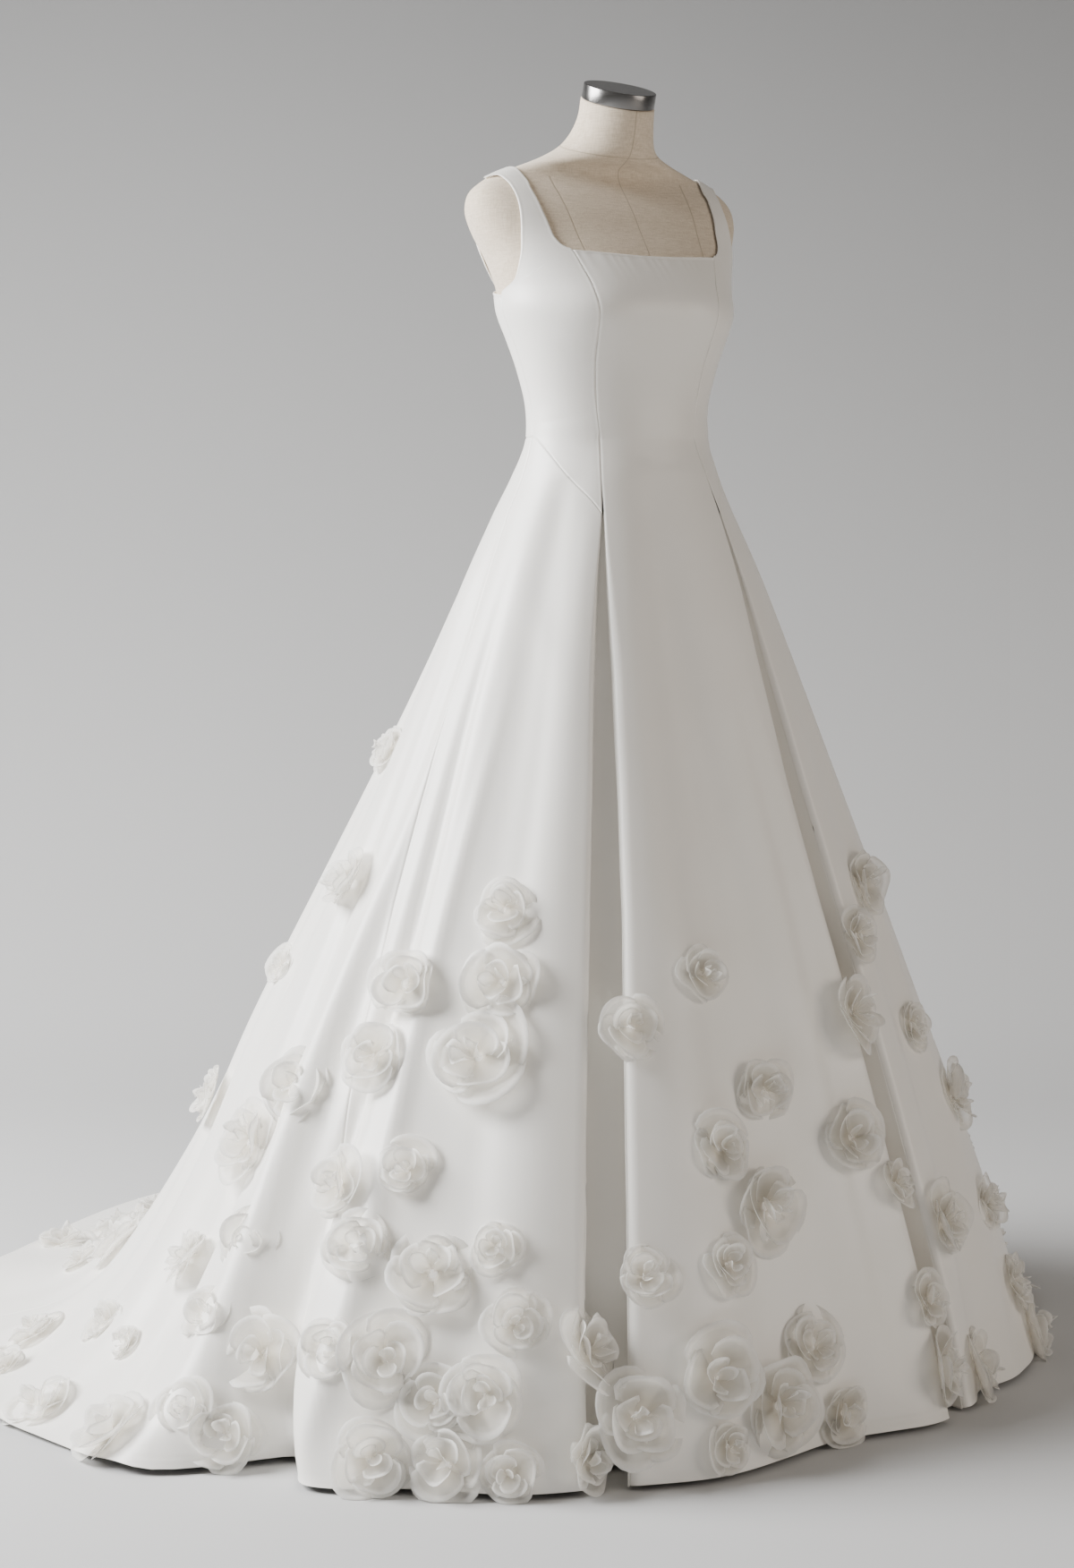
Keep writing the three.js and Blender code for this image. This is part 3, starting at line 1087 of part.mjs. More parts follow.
// Groups of rosettes that touch one another, the widest first: one that leans off its panel
// counts for more, because it stays a piece of its own
const LEANING = 200;
function rosetteClusters(flowers) {
  const clusters = [];
  for (const flower of flowers) {
    const touching = clusters.filter((cluster) => cluster.some(({ solid }) => meets(flower.solid, [solid])));
    touching.forEach((cluster) => clusters.splice(clusters.indexOf(cluster), 1));
    clusters.push([flower, ...touching.flat()]);
  }
  const weight = ({ place }) => place.radius + (place.lean ? LEANING : 0);
  const width = (cluster) => cluster.reduce((sum, flower) => sum + weight(flower), 0);
  return clusters.sort((one, other) => width(other) - width(one));
}

// The widest clusters stay pieces of their own, just clear of the panels, and the smaller
// single ones are raised on their panel
function rosettes() {
  const cloth = Object.values(panels).map((panel) => panel.solid);
  const flowers = rosettePlaces()
    .map((place, index) => ({ place, index, solid: clearRosette(place, index, cloth, ROSETTE.lifts) }))
    .filter(({ solid }) => solid);
  const clusters = rosetteClusters(flowers);
  const own = clusters.slice(0, ROSETTE.nodes).map((cluster) => cluster
    .map(({ solid }) => solid)
    .reduce((whole, solid) => joined(whole, solid)));
  own.forEach((solid, i) => {
    group.add(meshOfSolid(`rosettes_${String(i + 1).padStart(2, '0')}`, solid, 'organza'));
  });
  for (const { place, index } of clusters.slice(ROSETTE.nodes).flat()) {
    const others = Object.keys(panels).filter((name) => name !== place.on).map((name) => panels[name].solid);
    const solid = clearRosette(place, index, [...others, ...own], [-ROSETTE.sunk]);
    if (solid) panels[place.on].solid = joined(panels[place.on].solid, solid);
  }
}

rosettes();
for (const [name, panel] of Object.entries(panels)) {
  group.add(meshOfSolid(name, panel.solid, panel.look));
}
zip();
formTorso();
neckCap();
stand();

export default group;
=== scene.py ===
"""A satin wedding gown with organza rosettes on a linen dress form.

The gown is laid out the way it is cut: each panel is a grid of cloth placed by azimuth round the
form and by row down the skirt, and the flowers are sewn on by their share across and down a panel.
"""

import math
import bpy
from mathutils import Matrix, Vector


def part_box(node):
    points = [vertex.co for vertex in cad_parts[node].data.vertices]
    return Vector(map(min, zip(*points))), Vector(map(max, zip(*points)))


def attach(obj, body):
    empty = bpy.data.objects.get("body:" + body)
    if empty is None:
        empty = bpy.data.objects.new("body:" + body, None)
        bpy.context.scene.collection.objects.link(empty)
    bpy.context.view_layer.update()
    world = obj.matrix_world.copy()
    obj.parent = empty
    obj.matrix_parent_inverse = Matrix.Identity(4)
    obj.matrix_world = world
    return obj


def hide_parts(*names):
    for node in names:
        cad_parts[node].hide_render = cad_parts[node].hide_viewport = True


bl_info = {
    "name": "Wedding gown on a dress form",
    "version": (1, 0, 0),
    "blender": (4, 5, 0),
    "location": "3D View > Sidebar > Gown",
    "description": "Builds a satin gown with organza rosettes, its dress form and a studio stage",
    "category": "Object",
}

import bmesh
import bpy
import numpy as np
from mathutils import Matrix, Vector

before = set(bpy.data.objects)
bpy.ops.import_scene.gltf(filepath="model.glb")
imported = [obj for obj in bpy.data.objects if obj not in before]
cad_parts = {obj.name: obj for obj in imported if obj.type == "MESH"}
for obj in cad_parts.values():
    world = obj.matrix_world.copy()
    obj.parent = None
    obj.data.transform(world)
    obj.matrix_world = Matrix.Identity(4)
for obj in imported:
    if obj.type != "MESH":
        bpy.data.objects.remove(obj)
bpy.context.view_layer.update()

MM = 0.001
RAD = math.pi / 180

# Sizes that the cloth shares with its solids, in millimetres
WAIST = 1295
CLOTH = 2.3
REST = 2.1
SHOULDER_REST = 1.2
BODICE_STEP = 45
HIP_STEP = 55
SKIRT_ROWS = 12
NECKLINE = 1541
NECKLINE_DIP = 6
BACK_NECKLINE = 1500
BACK_SCOOP = 11
UNDERARM = 1487
STRAP_FOOT = 1562
BUST_X = 88
BUST_Z = 1460
BUST_SPREAD = 46
BUST_DEPTH = 7
PLEAT_DEPTH = 80
PLEAT_TOP_DEPTH = 6
FLOOR_CLEAR = 0.6
NECK_TILT = 19
NECK_FROM = 1652
NECK_TO = 1700
SIDE_SEAM = 91
SEAM_DIP = 1.2
YOKE_FADE = 3
YOKE_DOWN = 360
TRAIN_FROM = 62
TRAIN_TO = 115
CAP_RADIUS = 50.5
CAP_HEIGHT = 21
CAP_ROUNDING = 1.4
FORM_SEAM_TOP = 1650
FORM_NECK_SEAM = 1690
# The outside of the cloth stays this high, so that its thickness clears the floor
LOWEST_CLOTH = FLOOR_CLEAR + 1.6
# Radius of a pleat's fold at the yoke and lower down, and how far below the yoke it gets there
FOLD_SHARP = 2.6
FOLD_SOFT = 12.0
FOLD_SOFTENS = 250

# How high over the floor, and over how many degrees, the train settles on it. What is left there of
# a main fold, of a hollow between folds and of a soft crease's hollow
SETTLE_HEIGHT = 60
SETTLE_DEGREES = 40
LYING_FOLD = 1.1
LYING_HOLLOW = 0.12
LYING_CREASE = 0.15

# Soft creases: their gain, how much they fade past their full row, and how they wander in degrees
CREASE_GAIN = 1.5
CREASE_FADE = 0.7
WANDER = 0.7
WANDER_RATE = 1.3

# Flowers: least share of two radii between neighbours, lift of the stitched middle in millimetres,
# and how far askew one can be sewn on, as a slope
FLOWERS_APART = 0.85
SEWN_LIFT = 0.6
TILT = 0.16

# Choice of a flower's cluster: how far outside its box a flower may lie, what a metre outside the
# box and a metre from its middle count, and the score that is too much
BOX_REACH = 0.004
OUTSIDE_WEIGHT = 10
MIDDLE_WEIGHT = 0.15
WORST_SCORE = 0.035

# A full turn in radians, for the soft waves and the petals
FULL_TURN = 6.283
# How often a search halves its range, and how often a scattered flower looks for a free place
HALVINGS = 26
TRIES = 200

# The form's sections: height, half width, depth to the front and back of its centre, the
# centre's y and the power of the rounded oval
TORSO = np.array([
    (1000, 152, 104, 116, 0, 2.1),
    (1080, 160, 106, 122, 0, 2.1),
    (1190, 148, 100, 106, 0, 2.1),
    (1240, 137, 94, 94, 0, 2.1),
    (1295, 131, 89, 86, 0, 2.1),
    (1340, 131, 91, 88, 2, 2.1),
    (1390, 143, 102, 96, 4, 2.1),
    (1430, 156, 117, 101, 8, 2.15),
    (1465, 168, 128, 105, 12, 2.2),
    (1500, 171, 124, 105, 18, 2.2),
    (1540, 182, 111, 106, 28, 2.3),
    (1570, 197, 97, 104, 36, 2.3),
    (1600, 206, 82, 97, 42, 2.4),
    (1625, 202, 64, 82, 45, 2.4),
    (1640, 188, 50, 66, 44, 2.2),
    (1652, 166, 42, 54, 42, 2),
    (1664, 134, 40, 48, 38, 2),
    (1676, 102, 46, 48, 32, 2),
    (1688, 76, 50, 50, 25, 2),
    (1702, 61, 53, 53, 18, 2),
    (1725, 53, 51, 51, 8, 2),
    (1752, 50.5, 50.5, 50.5, 2, 2),
], dtype=float)

# The skirt's rows: height at the front and in the train, and the reach at these azimuths
AZIMUTHS = [-180, -147, -113, -75, -48, 0, 48, 75, 113, 147, 180]
SKIRT = np.array([
    (1240, 1240, 104, 126, 149, 147, 131, 106, 131, 147, 149, 126),
    (1190, 1190, 128, 150, 174, 170, 150, 121, 150, 168, 172, 150),
    (1100, 1100, 168, 192, 217, 213, 190, 150, 186, 208, 214, 190),
    (980, 980, 225, 247, 269, 264, 240, 190, 232, 255, 262, 243),
    (840, 840, 300, 315, 334, 325, 298, 240, 285, 308, 320, 308),
    (680, 680, 395, 400, 412, 398, 370, 303, 345, 370, 390, 390),
    (500, 495, 515, 505, 504, 485, 455, 372, 410, 440, 470, 490),
    (320, 300, 665, 630, 592, 580, 540, 440, 472, 512, 560, 610),
    (170, 125, 830, 775, 700, 668, 604, 489, 520, 572, 655, 750),
    (85, 42, 960, 880, 800, 725, 636, 514, 545, 606, 735, 865),
    (38, 12, 1105, 985, 880, 765, 650, 527, 558, 628, 810, 965),
    (8, 3.4, 1275, 1085, 945, 790, 660, 535, 566, 642, 875, 1060),
], dtype=float)

# Main folds, as in the solids: azimuth at the waist and at the hem, half width in degrees,
# rise at the hem, the row where the fold starts and the power of its growth
FOLDS = [
    (-10, 3, 11, -30, 1, 1.2), (-24, -19, 7, 10, 2, 0.8), (40, 20, 6, 8, 3, 0.7),
    (-62, -53, 7, -16, 1, 0.5), (-46, -41, 6, 8, 2, 0.6), (-92, -70, 4.6, -22, 2, 0.7),
    (-92, -70, 5, -105, 7, 1.8), (-101, -79, 6, 12, 2, 0.7), (-118, -93, 6, -26, 2, 0.9),
    (-130, -105, 7, 16, 3, 0.9), (-150, -125, 7, -30, 2, 0.9), (-162, -143, 7, 14, 3, 0.9),
    (180, 180, 8, -22, 2, 0.8), (152, 133, 7, -34, 2, 0.9), (136, 116, 7, 14, 3, 0.9),
    (122, 98, 6, -28, 2, 0.9), (104, 84, 6, 12, 2, 0.7), (92, 70, 5, -48, 3, 1),
    (72, 55, 7, 10, 2, 0.7), (58, 38, 4.5, -22, 4, 1),
]

# Soft creases laid over the main folds: azimuth at the waist and at the hem, half width in
# degrees, rise in millimetres, and the rows where the crease starts, is full and ends
CREASES = [
    (-6, 1, 3.6, 2.0, 3.0, 7.0, 12.6), (-17, -8, 3.2, -2.0, 4.0, 9.0, 12.8),
    (20, 15, 2.6, -2.4, 3.2, 8.2, 12.6), (30, 21, 2.2, 1.6, 3.0, 7.0, 11.0),
    (-55, -48, 2.8, -2.0, 2.0, 7.5, 12.6), (-124, -98, 2.6, 4.0, 2.6, 8.0, 12.6),
    (-137, -112, 2.8, -3.8, 2.4, 8.0, 12.5), (-145, -119, 2.2, 3.2, 4.0, 9.0, 12.6),
    (-157, -134, 2.8, -4.0, 2.2, 7.5, 12.5), (-170, -152, 2.6, 3.8, 3.0, 8.0, 12.6),
    (-176, -164, 2.4, -3.0, 5.0, 9.5, 12.6), (171, 168, 2.8, 3.8, 2.4, 8.0, 12.6),
    (160, 155, 2.4, -3.4, 3.2, 8.5, 12.5), (146, 126, 2.6, 3.8, 2.8, 8.0, 12.5),
    (129, 107, 2.4, -3.4, 2.0, 7.0, 12.4), (112, 91, 2.2, 3.0, 1.8, 6.5, 12.5),
    (98, 77, 2.0, -2.8, 3.2, 8.0, 12.4), (80, 60, 2.0, 2.4, 2.4, 7.5, 12.4),
    (66, 47, 2.2, 2.4, 3.0, 8.0, 12.5), (54, 35, 1.8, -1.8, 4.0, 8.0, 12.4),
    (-76, -70.0, 2.2, -16.0, 2.2, 8.5, 14.5), (-86, -78.5, 2.6, 15.0, 2.6, 8.0, 14.0),
    (-95, -88, 2.4, -14.0, 3.0, 8.5, 13.8), (-106, -99, 2.8, 9.0, 3.6, 9.0, 13.4),
    (-117, -109, 2.4, -11.0, 3.0, 9.0, 13.4), (-129, -119, 2.8, 9.0, 4.2, 9.5, 13.4),
    (-141, -128, 2.2, -8.5, 4.0, 9.5, 13.2), (-66, -63.5, 1.7, 7.0, 3.5, 8.5, 12.8),
    (100, 80, 1.9, -9.0, 3.0, 9.0, 12.8), (118, 95, 2.0, 6.5, 3.6, 9.0, 12.8),
    (126, 108, 1.9, -8.5, 3.0, 9.0, 12.8),
]

# Drag lines across the skirt and the bodice: azimuth, row, half width in degrees, half height
# in rows, slant in rows for each degree, and rise
DRAGS = [
    (-12, 0.5, 15, 0.10, 0.004, -0.7), (14, 0.62, 13, 0.09, -0.006, -0.6),
    (-60, 0.35, 14, 0.09, 0.008, -0.8), (-68, -0.5, 13, 0.10, -0.006, -0.7),
    (62, 0.42, 13, 0.10, -0.008, -0.7), (66, -0.6, 13, 0.10, 0.006, -0.6),
    (-140, 0.4, 16, 0.10, 0.005, -0.8), (142, 0.45, 16, 0.10, -0.005, -0.8),
    (-150, -0.7, 14, 0.11, -0.006, -0.6), (-58, 3.6, 9, 0.28, 0.03, 1.6),
    (-128, 9.4, 13, 0.30, 0.02, 3.4), (-150, 10.3, 15, 0.22, -0.01, 3.6),
    (158, 10.1, 15, 0.24, 0.012, 3.4), (120, 9.7, 12, 0.28, -0.018, 3.2),
    (178, 9.3, 12, 0.26, 0.0, 3.0), (-96, 10.6, 8, 0.30, 0.03, 2.8), (92, 10.6, 8, 0.30, -0.03, 2.6),
    (-170, 11.2, 14, 0.16, 0.006, 2.6),
]

# Long edges of the skirt by row: both folds of each pleat, the side seams, the back seams
EDGE_ROWS = [0, 1, 2, 3, 4, 5, 6, 8, 10, 12]
EDGES = {
    "centreR": [-44, -41, -38.3, -35, -32, -30.3, -29.3, -29, -29, -29],
    "sideFoldR": [-44, -41, -39.2, -39.2, -38.2, -37, -36.2, -35, -34.2, -34],
    "sideR": [-91, -91, -90, -87, -84, -81, -79, -72, -67, -65],
    "backR": [-142, -141, -140, -139, -138, -136, -134, -131, -129, -128],
    "centreL": [44, 44, 43.4, 40, 34.5, 30, 27, 24, 24, 24],
    "sideFoldL": [44, 44, 44.4, 43, 39.5, 36, 33.5, 30.5, 29.5, 29],
    "sideL": [91, 91, 90, 88, 86, 83, 80, 74, 69, 67],
    "backL": [142, 141, 140, 139, 138, 136, 134, 131, 129, 128],
}

# Heights and distances from the middle of the princess seams, of the gown and of the form
PRINCESS = ([1295, 1350, 1395, 1460, 1500, 1541], [75, 79, 85, 92, 98, 111])
BACK_PRINCESS = ([1295, 1350, 1420, 1470, 1500], [82, 86, 98, 118, 139])
FORM_PRINCESS = ([1000, 1295, 1460, 1560, 1640], [78, 60, 84, 96, 104])
# The straps: shares of the way up, and the distances of both edges from the middle
STRAP_WAYS = [0, 0.3, 0.6, 0.85, 1]
STRAP_INNER = [130, 138, 141, 145, 148]
STRAP_OUTER = [166, 164, 166, 174, 184]
# Rows over the corner from the bodice to the strap: outer x and z, inner x and z
FRONT_CORNER = [(168, 1505, 118, 1545), (167, 1522, 123, 1549), (166, 1541, 127, 1555)]
BACK_CORNER = [(145, 1507, 34, 1490), (151, 1515, 68, 1493), (156, 1524, 97, 1500), (161, 1534, 117, 1513),
               (164, 1546, 127, 1532)]
# Where the solids' rows lie: heights on the bodice, rows on the skirt, shares on the strap
PRINCESS_ROWS = [1350, 1395, 1430, 1460, 1490, 1516, 1541]
SIDE_ROWS = [1295, 1315, 1338, 1362, 1388, 1412, 1436, 1458, 1474, 1487]
BACK_ROWS = [WAIST + (z - WAIST) * (BACK_NECKLINE - WAIST) / (UNDERARM - WAIST) for z in SIDE_ROWS]
FOLD_ROWS = [2, 3, 4, 5, 6, 7, 8, 9, 9.75, 10.5, 11.25, 12]
SEAM_ROWS = [0, 1.2, 2.4, 3.6, 4.8, 6, 7.2, 8.4, 9.4, 10.4, 11.2, 12]
STRAP_STEPS = [0, 0.15, 0.32, 0.5, 0.68, 0.84, 1]
CENTRE_COLUMNS = [0, 0.03, 0.12, 0.22, 0.33, 0.44, 0.56, 0.67, 0.78, 0.88, 0.97, 1]

# Rosettes of each panel: share across, share down, radius, lean round the vertical. Their places and
# sizes were read off the photo as picture points, and a program turned those into shares and radii.
ROSETTES_BY_PANEL = {
    "side_front_skirt_right": [
        (0.19, 0.482, 46, 0), (0.1, 0.527, 42, 0), (0.59, 0.404, 42, 0), (0.62, 0.443, 48, 0),
        (0.55, 0.49, 62, 0), (0.32, 0.569, 36, 0), (0.07, 0.594, 44, 0), (0.19, 0.62, 46, 0),
        (0.46, 0.619, 54, 0), (0.69, 0.588, 36, 0), (0.77, 0.628, 38, 0), (0.32, 0.697, 51, 0),
        (0.48, 0.739, 40, 0), (0.65, 0.72, 52, 0), (0.28, 0.89, 44, 0), (0.52, 0.885, 46, 0),
        (0.74, 0.9, 36, 0), (0.985, 0.86, 42, 48), (0.99, 0.64, 48, 52), (0.14, 0.702, 38, 0),
    ],
    "centre_front": [
        (0.03, 0.69, 42, 0), (0.1, 0.775, 37, 0), (0.04, 0.865, 54, 0), (0.34, 0.673, 35, 0),
        (0.51, 0.715, 41, 0), (0.33, 0.732, 42, 0), (0.46, 0.755, 54, 0), (0.32, 0.774, 36, 0),
        (0.79, 0.735, 48, 0), (0.27, 0.832, 56, 0), (0.54, 0.829, 43, 0), (0.28, 0.93, 32, 0),
        (0.42, 0.886, 54, 0), (0.61, 0.93, 40, 0), (0.965, 0.692, 50, 16), (0.965, 0.754, 30, 16),
        (0.965, 0.808, 36, 16), (0.965, 0.885, 48, 16),
    ],
    "side_front_skirt_left": [
        (0.35, 0.398, 44, 0), (0.06, 0.4, 36, 0), (0.41, 0.496, 34, 0), (0.63, 0.56, 48, 0),
        (0.12, 0.6, 46, 0), (0.16, 0.86, 46, 0), (0.6, 0.632, 38, 0), (0.66, 0.74, 38, 0),
        (0.81, 0.9, 48, 0),
    ],
    "side_back_skirt_right": [
        (0.43, 0.366, 31, 0), (0.74, 0.446, 43, 0), (0.39, 0.501, 30, 0), (0.28, 0.576, 38, 0),
        (0.72, 0.585, 52, 0), (0.84, 0.555, 46, 0), (0.61, 0.655, 38, 0), (0.84, 0.63, 40, 0),
        (0.8, 0.69, 38, 0), (0.43, 0.722, 35, 0), (0.54, 0.735, 26, 0), (0.2, 0.8, 38, 0),
        (0.92, 0.72, 48, 0), (0.51, 0.887, 46, 0), (0.71, 0.884, 50, 0), (0.82, 0.798, 37, 0),
        (0.87, 0.89, 46, 0), (0.32, 0.87, 32, 0),
    ],
    "centre_back_skirt_right": [
        (0.52, 0.94, 42, 0), (0.26, 0.93, 36, 0),
    ],
}
ROSETTES = [(panel, *row) for panel, rows in ROSETTES_BY_PANEL.items() for row in rows]
# The other sides: panel, count, shares down from and to, shares across from and to
SCATTER = [
    ("side_back_skirt_left", 15, 0.42, 0.92, 0.06, 0.94),
    ("centre_back_skirt_left", 10, 0.5, 0.94, 0.06, 0.9),
    ("centre_back_skirt_right", 8, 0.5, 0.94, 0.1, 0.94),
]
ROSETTE_NODES = [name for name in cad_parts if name.startswith("rosettes_")]

SIDES = ((-1, "R", "right"), (1, "L", "left"))


# Numbers

def mix(a, b, t):
    return a + (b - a) * t


def smooth(t):
    t = np.clip(t, 0, 1)
    return t * t * (3 - 2 * t)


def curve(stations, values, at, steady=False):
    """A smooth curve through stations, with the slope at each one from its neighbours. A steady
    one never runs past a station's value."""
    stations = np.asarray(stations, float)
    values = np.asarray(values, float)
    count = len(stations)
    i = np.clip(np.searchsorted(stations, at, side="right") - 1, 0, count - 2)
    before = np.maximum(np.arange(count) - 1, 0)
    after = np.minimum(np.arange(count) + 1, count - 1)
    span_of = (stations[after] - stations[before]).reshape((-1,) + (1,) * (values.ndim - 1))
    slope = (values[after] - values[before]) / span_of
    if steady:
        rates = np.diff(values, axis=0) / np.diff(stations).reshape((-1,) + (1,) * (values.ndim - 1))
        lower, upper = rates[:-1], rates[1:]
        least = np.sign(lower) * np.minimum(np.abs(lower), np.abs(upper)) * 3
        held = np.clip(slope[1:-1], np.minimum(least, 0), np.maximum(least, 0))
        slope[1:-1] = np.where(lower * upper > 0, held, 0)
    span = stations[i + 1] - stations[i]
    t = (at - stations[i]) / span
    wider = np.shape(t) + (1,) * (values.ndim - 1)
    t = np.reshape(t, wider)
    span = np.reshape(span, wider)
    return ((2 * t**3 - 3 * t**2 + 1) * values[i] + (t**3 - 2 * t**2 + t) * slope[i] * span
            + (3 * t**2 - 2 * t**3) * values[i + 1] + (t**3 - t**2) * slope[i + 1] * span)


def listed(values, share):
    """The value at a share of the way along an even list."""
    return np.interp(np.clip(share, 0, 1), np.linspace(0, 1, len(values)), values)


def scattered(seed):
    """A repeatable number from 0 to 1."""
    value = math.sin(seed * 127.1 + 11.7) * 43758.5453
    return value - math.floor(value)


def waves(x, y, seed, size):
    """A soft uneven height from -1 to 1 over two lengths, with bumps about size apart."""
    total = np.zeros_like(np.asarray(x, float))
    for k in range(5):
        angle = FULL_TURN * scattered(seed + k)
        rate = FULL_TURN / (size * mix(0.7, 1.6, scattered(seed + k + 31)))
        total += np.sin((x * math.cos(angle) + y * math.sin(angle)) * rate + 9 * scattered(seed + k + 57))
    return total / 3


# The form and the gown's surface, in millimetres

def form_point(azimuth, z, outward=0.0):
    azimuth, z = np.broadcast_arrays(np.asarray(azimuth, float), np.asarray(z, float))
    half, front, back, y, power = [curve(TORSO[:, 0], TORSO[:, k], z) for k in range(1, 6)]
    s = np.sin(azimuth * RAD)
    c = np.cos(azimuth * RAD)
    depth = np.where(c > 0, front, back)
    tilt = math.tan(NECK_TILT * RAD) * smooth((z - NECK_FROM) / (NECK_TO - NECK_FROM))
    reach = (np.abs(s / half) ** power + np.abs(c / depth) ** power) ** (-1 / power) + outward
    away = (np.abs(reach * s) - BUST_X) ** 2 + (z - BUST_Z) ** 2
    reach = reach + np.where(c > 0, BUST_DEPTH * np.exp(-away / BUST_SPREAD**2), 0)
    return np.stack([reach * s, y - reach * c, z - reach * c * tilt], axis=-1)


def form_out(azimuth, z):
    across = form_point(azimuth + 0.4, z) - form_point(azimuth - 0.4, z)
    up = form_point(azimuth, z + 0.6) - form_point(azimuth, z - 0.6)
    out = np.cross(across, up)
    return out / np.linalg.norm(out, axis=-1, keepdims=True)


def azimuth_at_x(x, z, behind=False):
    x, z = np.broadcast_arrays(np.asarray(x, float), np.asarray(z, float))
    low = np.zeros_like(x)
    high = np.full_like(x, 90.0)
    for _ in range(HALVINGS):
        middle = (low + high) / 2
        short = form_point(180 - middle if behind else middle, z)[..., 0] < np.abs(x)
        low = np.where(short, middle, low)
        high = np.where(short, high, middle)
    return np.sign(x) * (180 - low if behind else low)


def shoulder_height(x):
    low = np.full_like(np.asarray(x, float), 1625.0)
    high = np.full_like(low, 1700.0)
    for _ in range(HALVINGS):
        middle = (low + high) / 2
        wide = curve(TORSO[:, 0], TORSO[:, 1], middle) > x
        low = np.where(wide, middle, low)
        high = np.where(wide, high, middle)
    return low


def turned(azimuth):
    """An azimuth brought between -180 and 180 degrees."""
    return (azimuth + 540) % 360 - 180


def row_point(row, azimuth):
    """A whole row of the gown: rows up to zero lie on the bodice."""
    if row <= 0:
        return form_point(azimuth, WAIST - BODICE_STEP * row, CLOTH + REST)
    entry = SKIRT[min(row, SKIRT_ROWS) - 1]
    radii = np.append(entry[2:], entry[2])
    stations = [AZIMUTHS[9] - 360] + AZIMUTHS + [AZIMUTHS[1] + 360]
    reach = curve(stations, np.concatenate([[radii[9]], radii, [radii[1]]]), turned(azimuth))
    z = mix(entry[0], entry[1], smooth((np.abs(turned(azimuth)) - TRAIN_FROM) / (TRAIN_TO - TRAIN_FROM)))
    return np.stack([reach * np.sin(azimuth * RAD), -reach * np.cos(azimuth * RAD), z], axis=-1)


def bump(away, width):
    return np.exp(-((away / width) ** 2))


def angle_between(azimuth, centre):
    away = np.abs(turned(azimuth) - centre)
    return np.minimum(away, 360 - away)


def fold_rise(azimuth, row):
    rise = np.zeros_like(azimuth)
    for top, hem, width, height, start, power in FOLDS:
        way = np.clip((row - start) / (SKIRT_ROWS - start), 0, None)
        centre = mix(top, hem, smooth(row / SKIRT_ROWS))
        rise += height * way**power * bump(angle_between(azimuth, centre), width) * (row > start)
    return rise


def crease_rise(azimuth, row):
    """The soft creases and drag lines, which only the cloth has and its solids do not."""
    rise = np.zeros_like(azimuth)
    for top, hem, width, height, start, full, end in CREASES:
        centre = mix(top, hem, smooth(row / SKIRT_ROWS)) + WANDER * np.sin(row * WANDER_RATE + top)
        faded = 1 - CREASE_FADE * smooth((row - full) / (end - full))
        strength = smooth((row - start) / (full - start)) * faded
        rise += CREASE_GAIN * height * strength * bump(angle_between(azimuth, centre), width)
    for centre, at, width, tall, slant, height in DRAGS:
        gap = turned(azimuth - centre)
        middle = at + slant * gap
        rise += height * bump(gap, width) * bump(row - middle, tall)
    return rise


def gown(azimuth, row, rest=REST, creased=True):
    """The outside of the gown at an azimuth and a row, which is negative on the bodice. Without
    its soft creases it is the surface of the solids."""
    azimuth, row, rest = np.broadcast_arrays(*(np.asarray(a, float) for a in (azimuth, row, rest)))
    i = np.clip(np.floor(row), 0, SKIRT_ROWS - 1).astype(int)
    t = np.clip(row - i, 0, 1)[..., None]
    rows = np.stack([row_point(k, azimuth) for k in range(-1, SKIRT_ROWS + 1)])

    def pick(k):
        return np.take_along_axis(rows, (k + 1)[None, ..., None], axis=0)[0]

    p0 = pick(i - 1)
    p1 = pick(i)
    p2 = pick(i + 1)
    last = (i + 2 > SKIRT_ROWS)[..., None]
    p3 = np.where(last, 2 * p2 - p1, pick(np.minimum(i + 2, SKIRT_ROWS)))
    m0 = (p2 - p0) / 2
    m1 = (p3 - p1) / 2
    skirt = ((2 * t**3 - 3 * t**2 + 1) * p1 + (t**3 - 2 * t**2 + t) * m0
             + (3 * t**2 - 2 * t**3) * p2 + (t**3 - t**2) * m1)
    flat = np.hypot(skirt[..., 0], skirt[..., 1])
    rise = fold_rise(azimuth, row)
    floor = np.exp(-skirt[..., 2] / SETTLE_HEIGHT)
    floor = floor * smooth((np.abs(turned(azimuth)) - TRAIN_FROM) / SETTLE_DEGREES)
    fine = crease_rise(azimuth, row) if creased else np.zeros_like(azimuth)
    lying = np.where(fine > 0, fine, fine * LYING_CREASE) * floor
    skirt[..., :2] *= (1 + (rise + fine) * (1 - floor) / flat)[..., None]
    # On the floor a main fold stands up, and the hollow beside it is only a low ripple
    skirt[..., 2] += (np.maximum(rise, 0) * floor * LYING_FOLD
                      + np.maximum(-rise, 0) * floor * LYING_HOLLOW + lying)
    z = WAIST - BODICE_STEP * row
    out = form_out(azimuth, z)
    bodice = form_point(azimuth, z) + out * (rest + CLOTH + fine)[..., None]
    return np.where((row < 0)[..., None], bodice, skirt)


def edge_azimuth(name, row):
    return np.interp(row, EDGE_ROWS, EDGES[name])


def princess_azimuth(side, z, behind=False):
    heights, xs = BACK_PRINCESS if behind else PRINCESS
    return azimuth_at_x(side * np.interp(z, heights, xs), z, behind)


def row_of(z):
    """The row at a height, on the bodice and down to the yoke seam."""
    z = np.asarray(z, float)
    return np.where(z > WAIST, (WAIST - z) / BODICE_STEP, (WAIST - z) / HIP_STEP)


# Each panel gives the azimuth and the row at shares across and down it

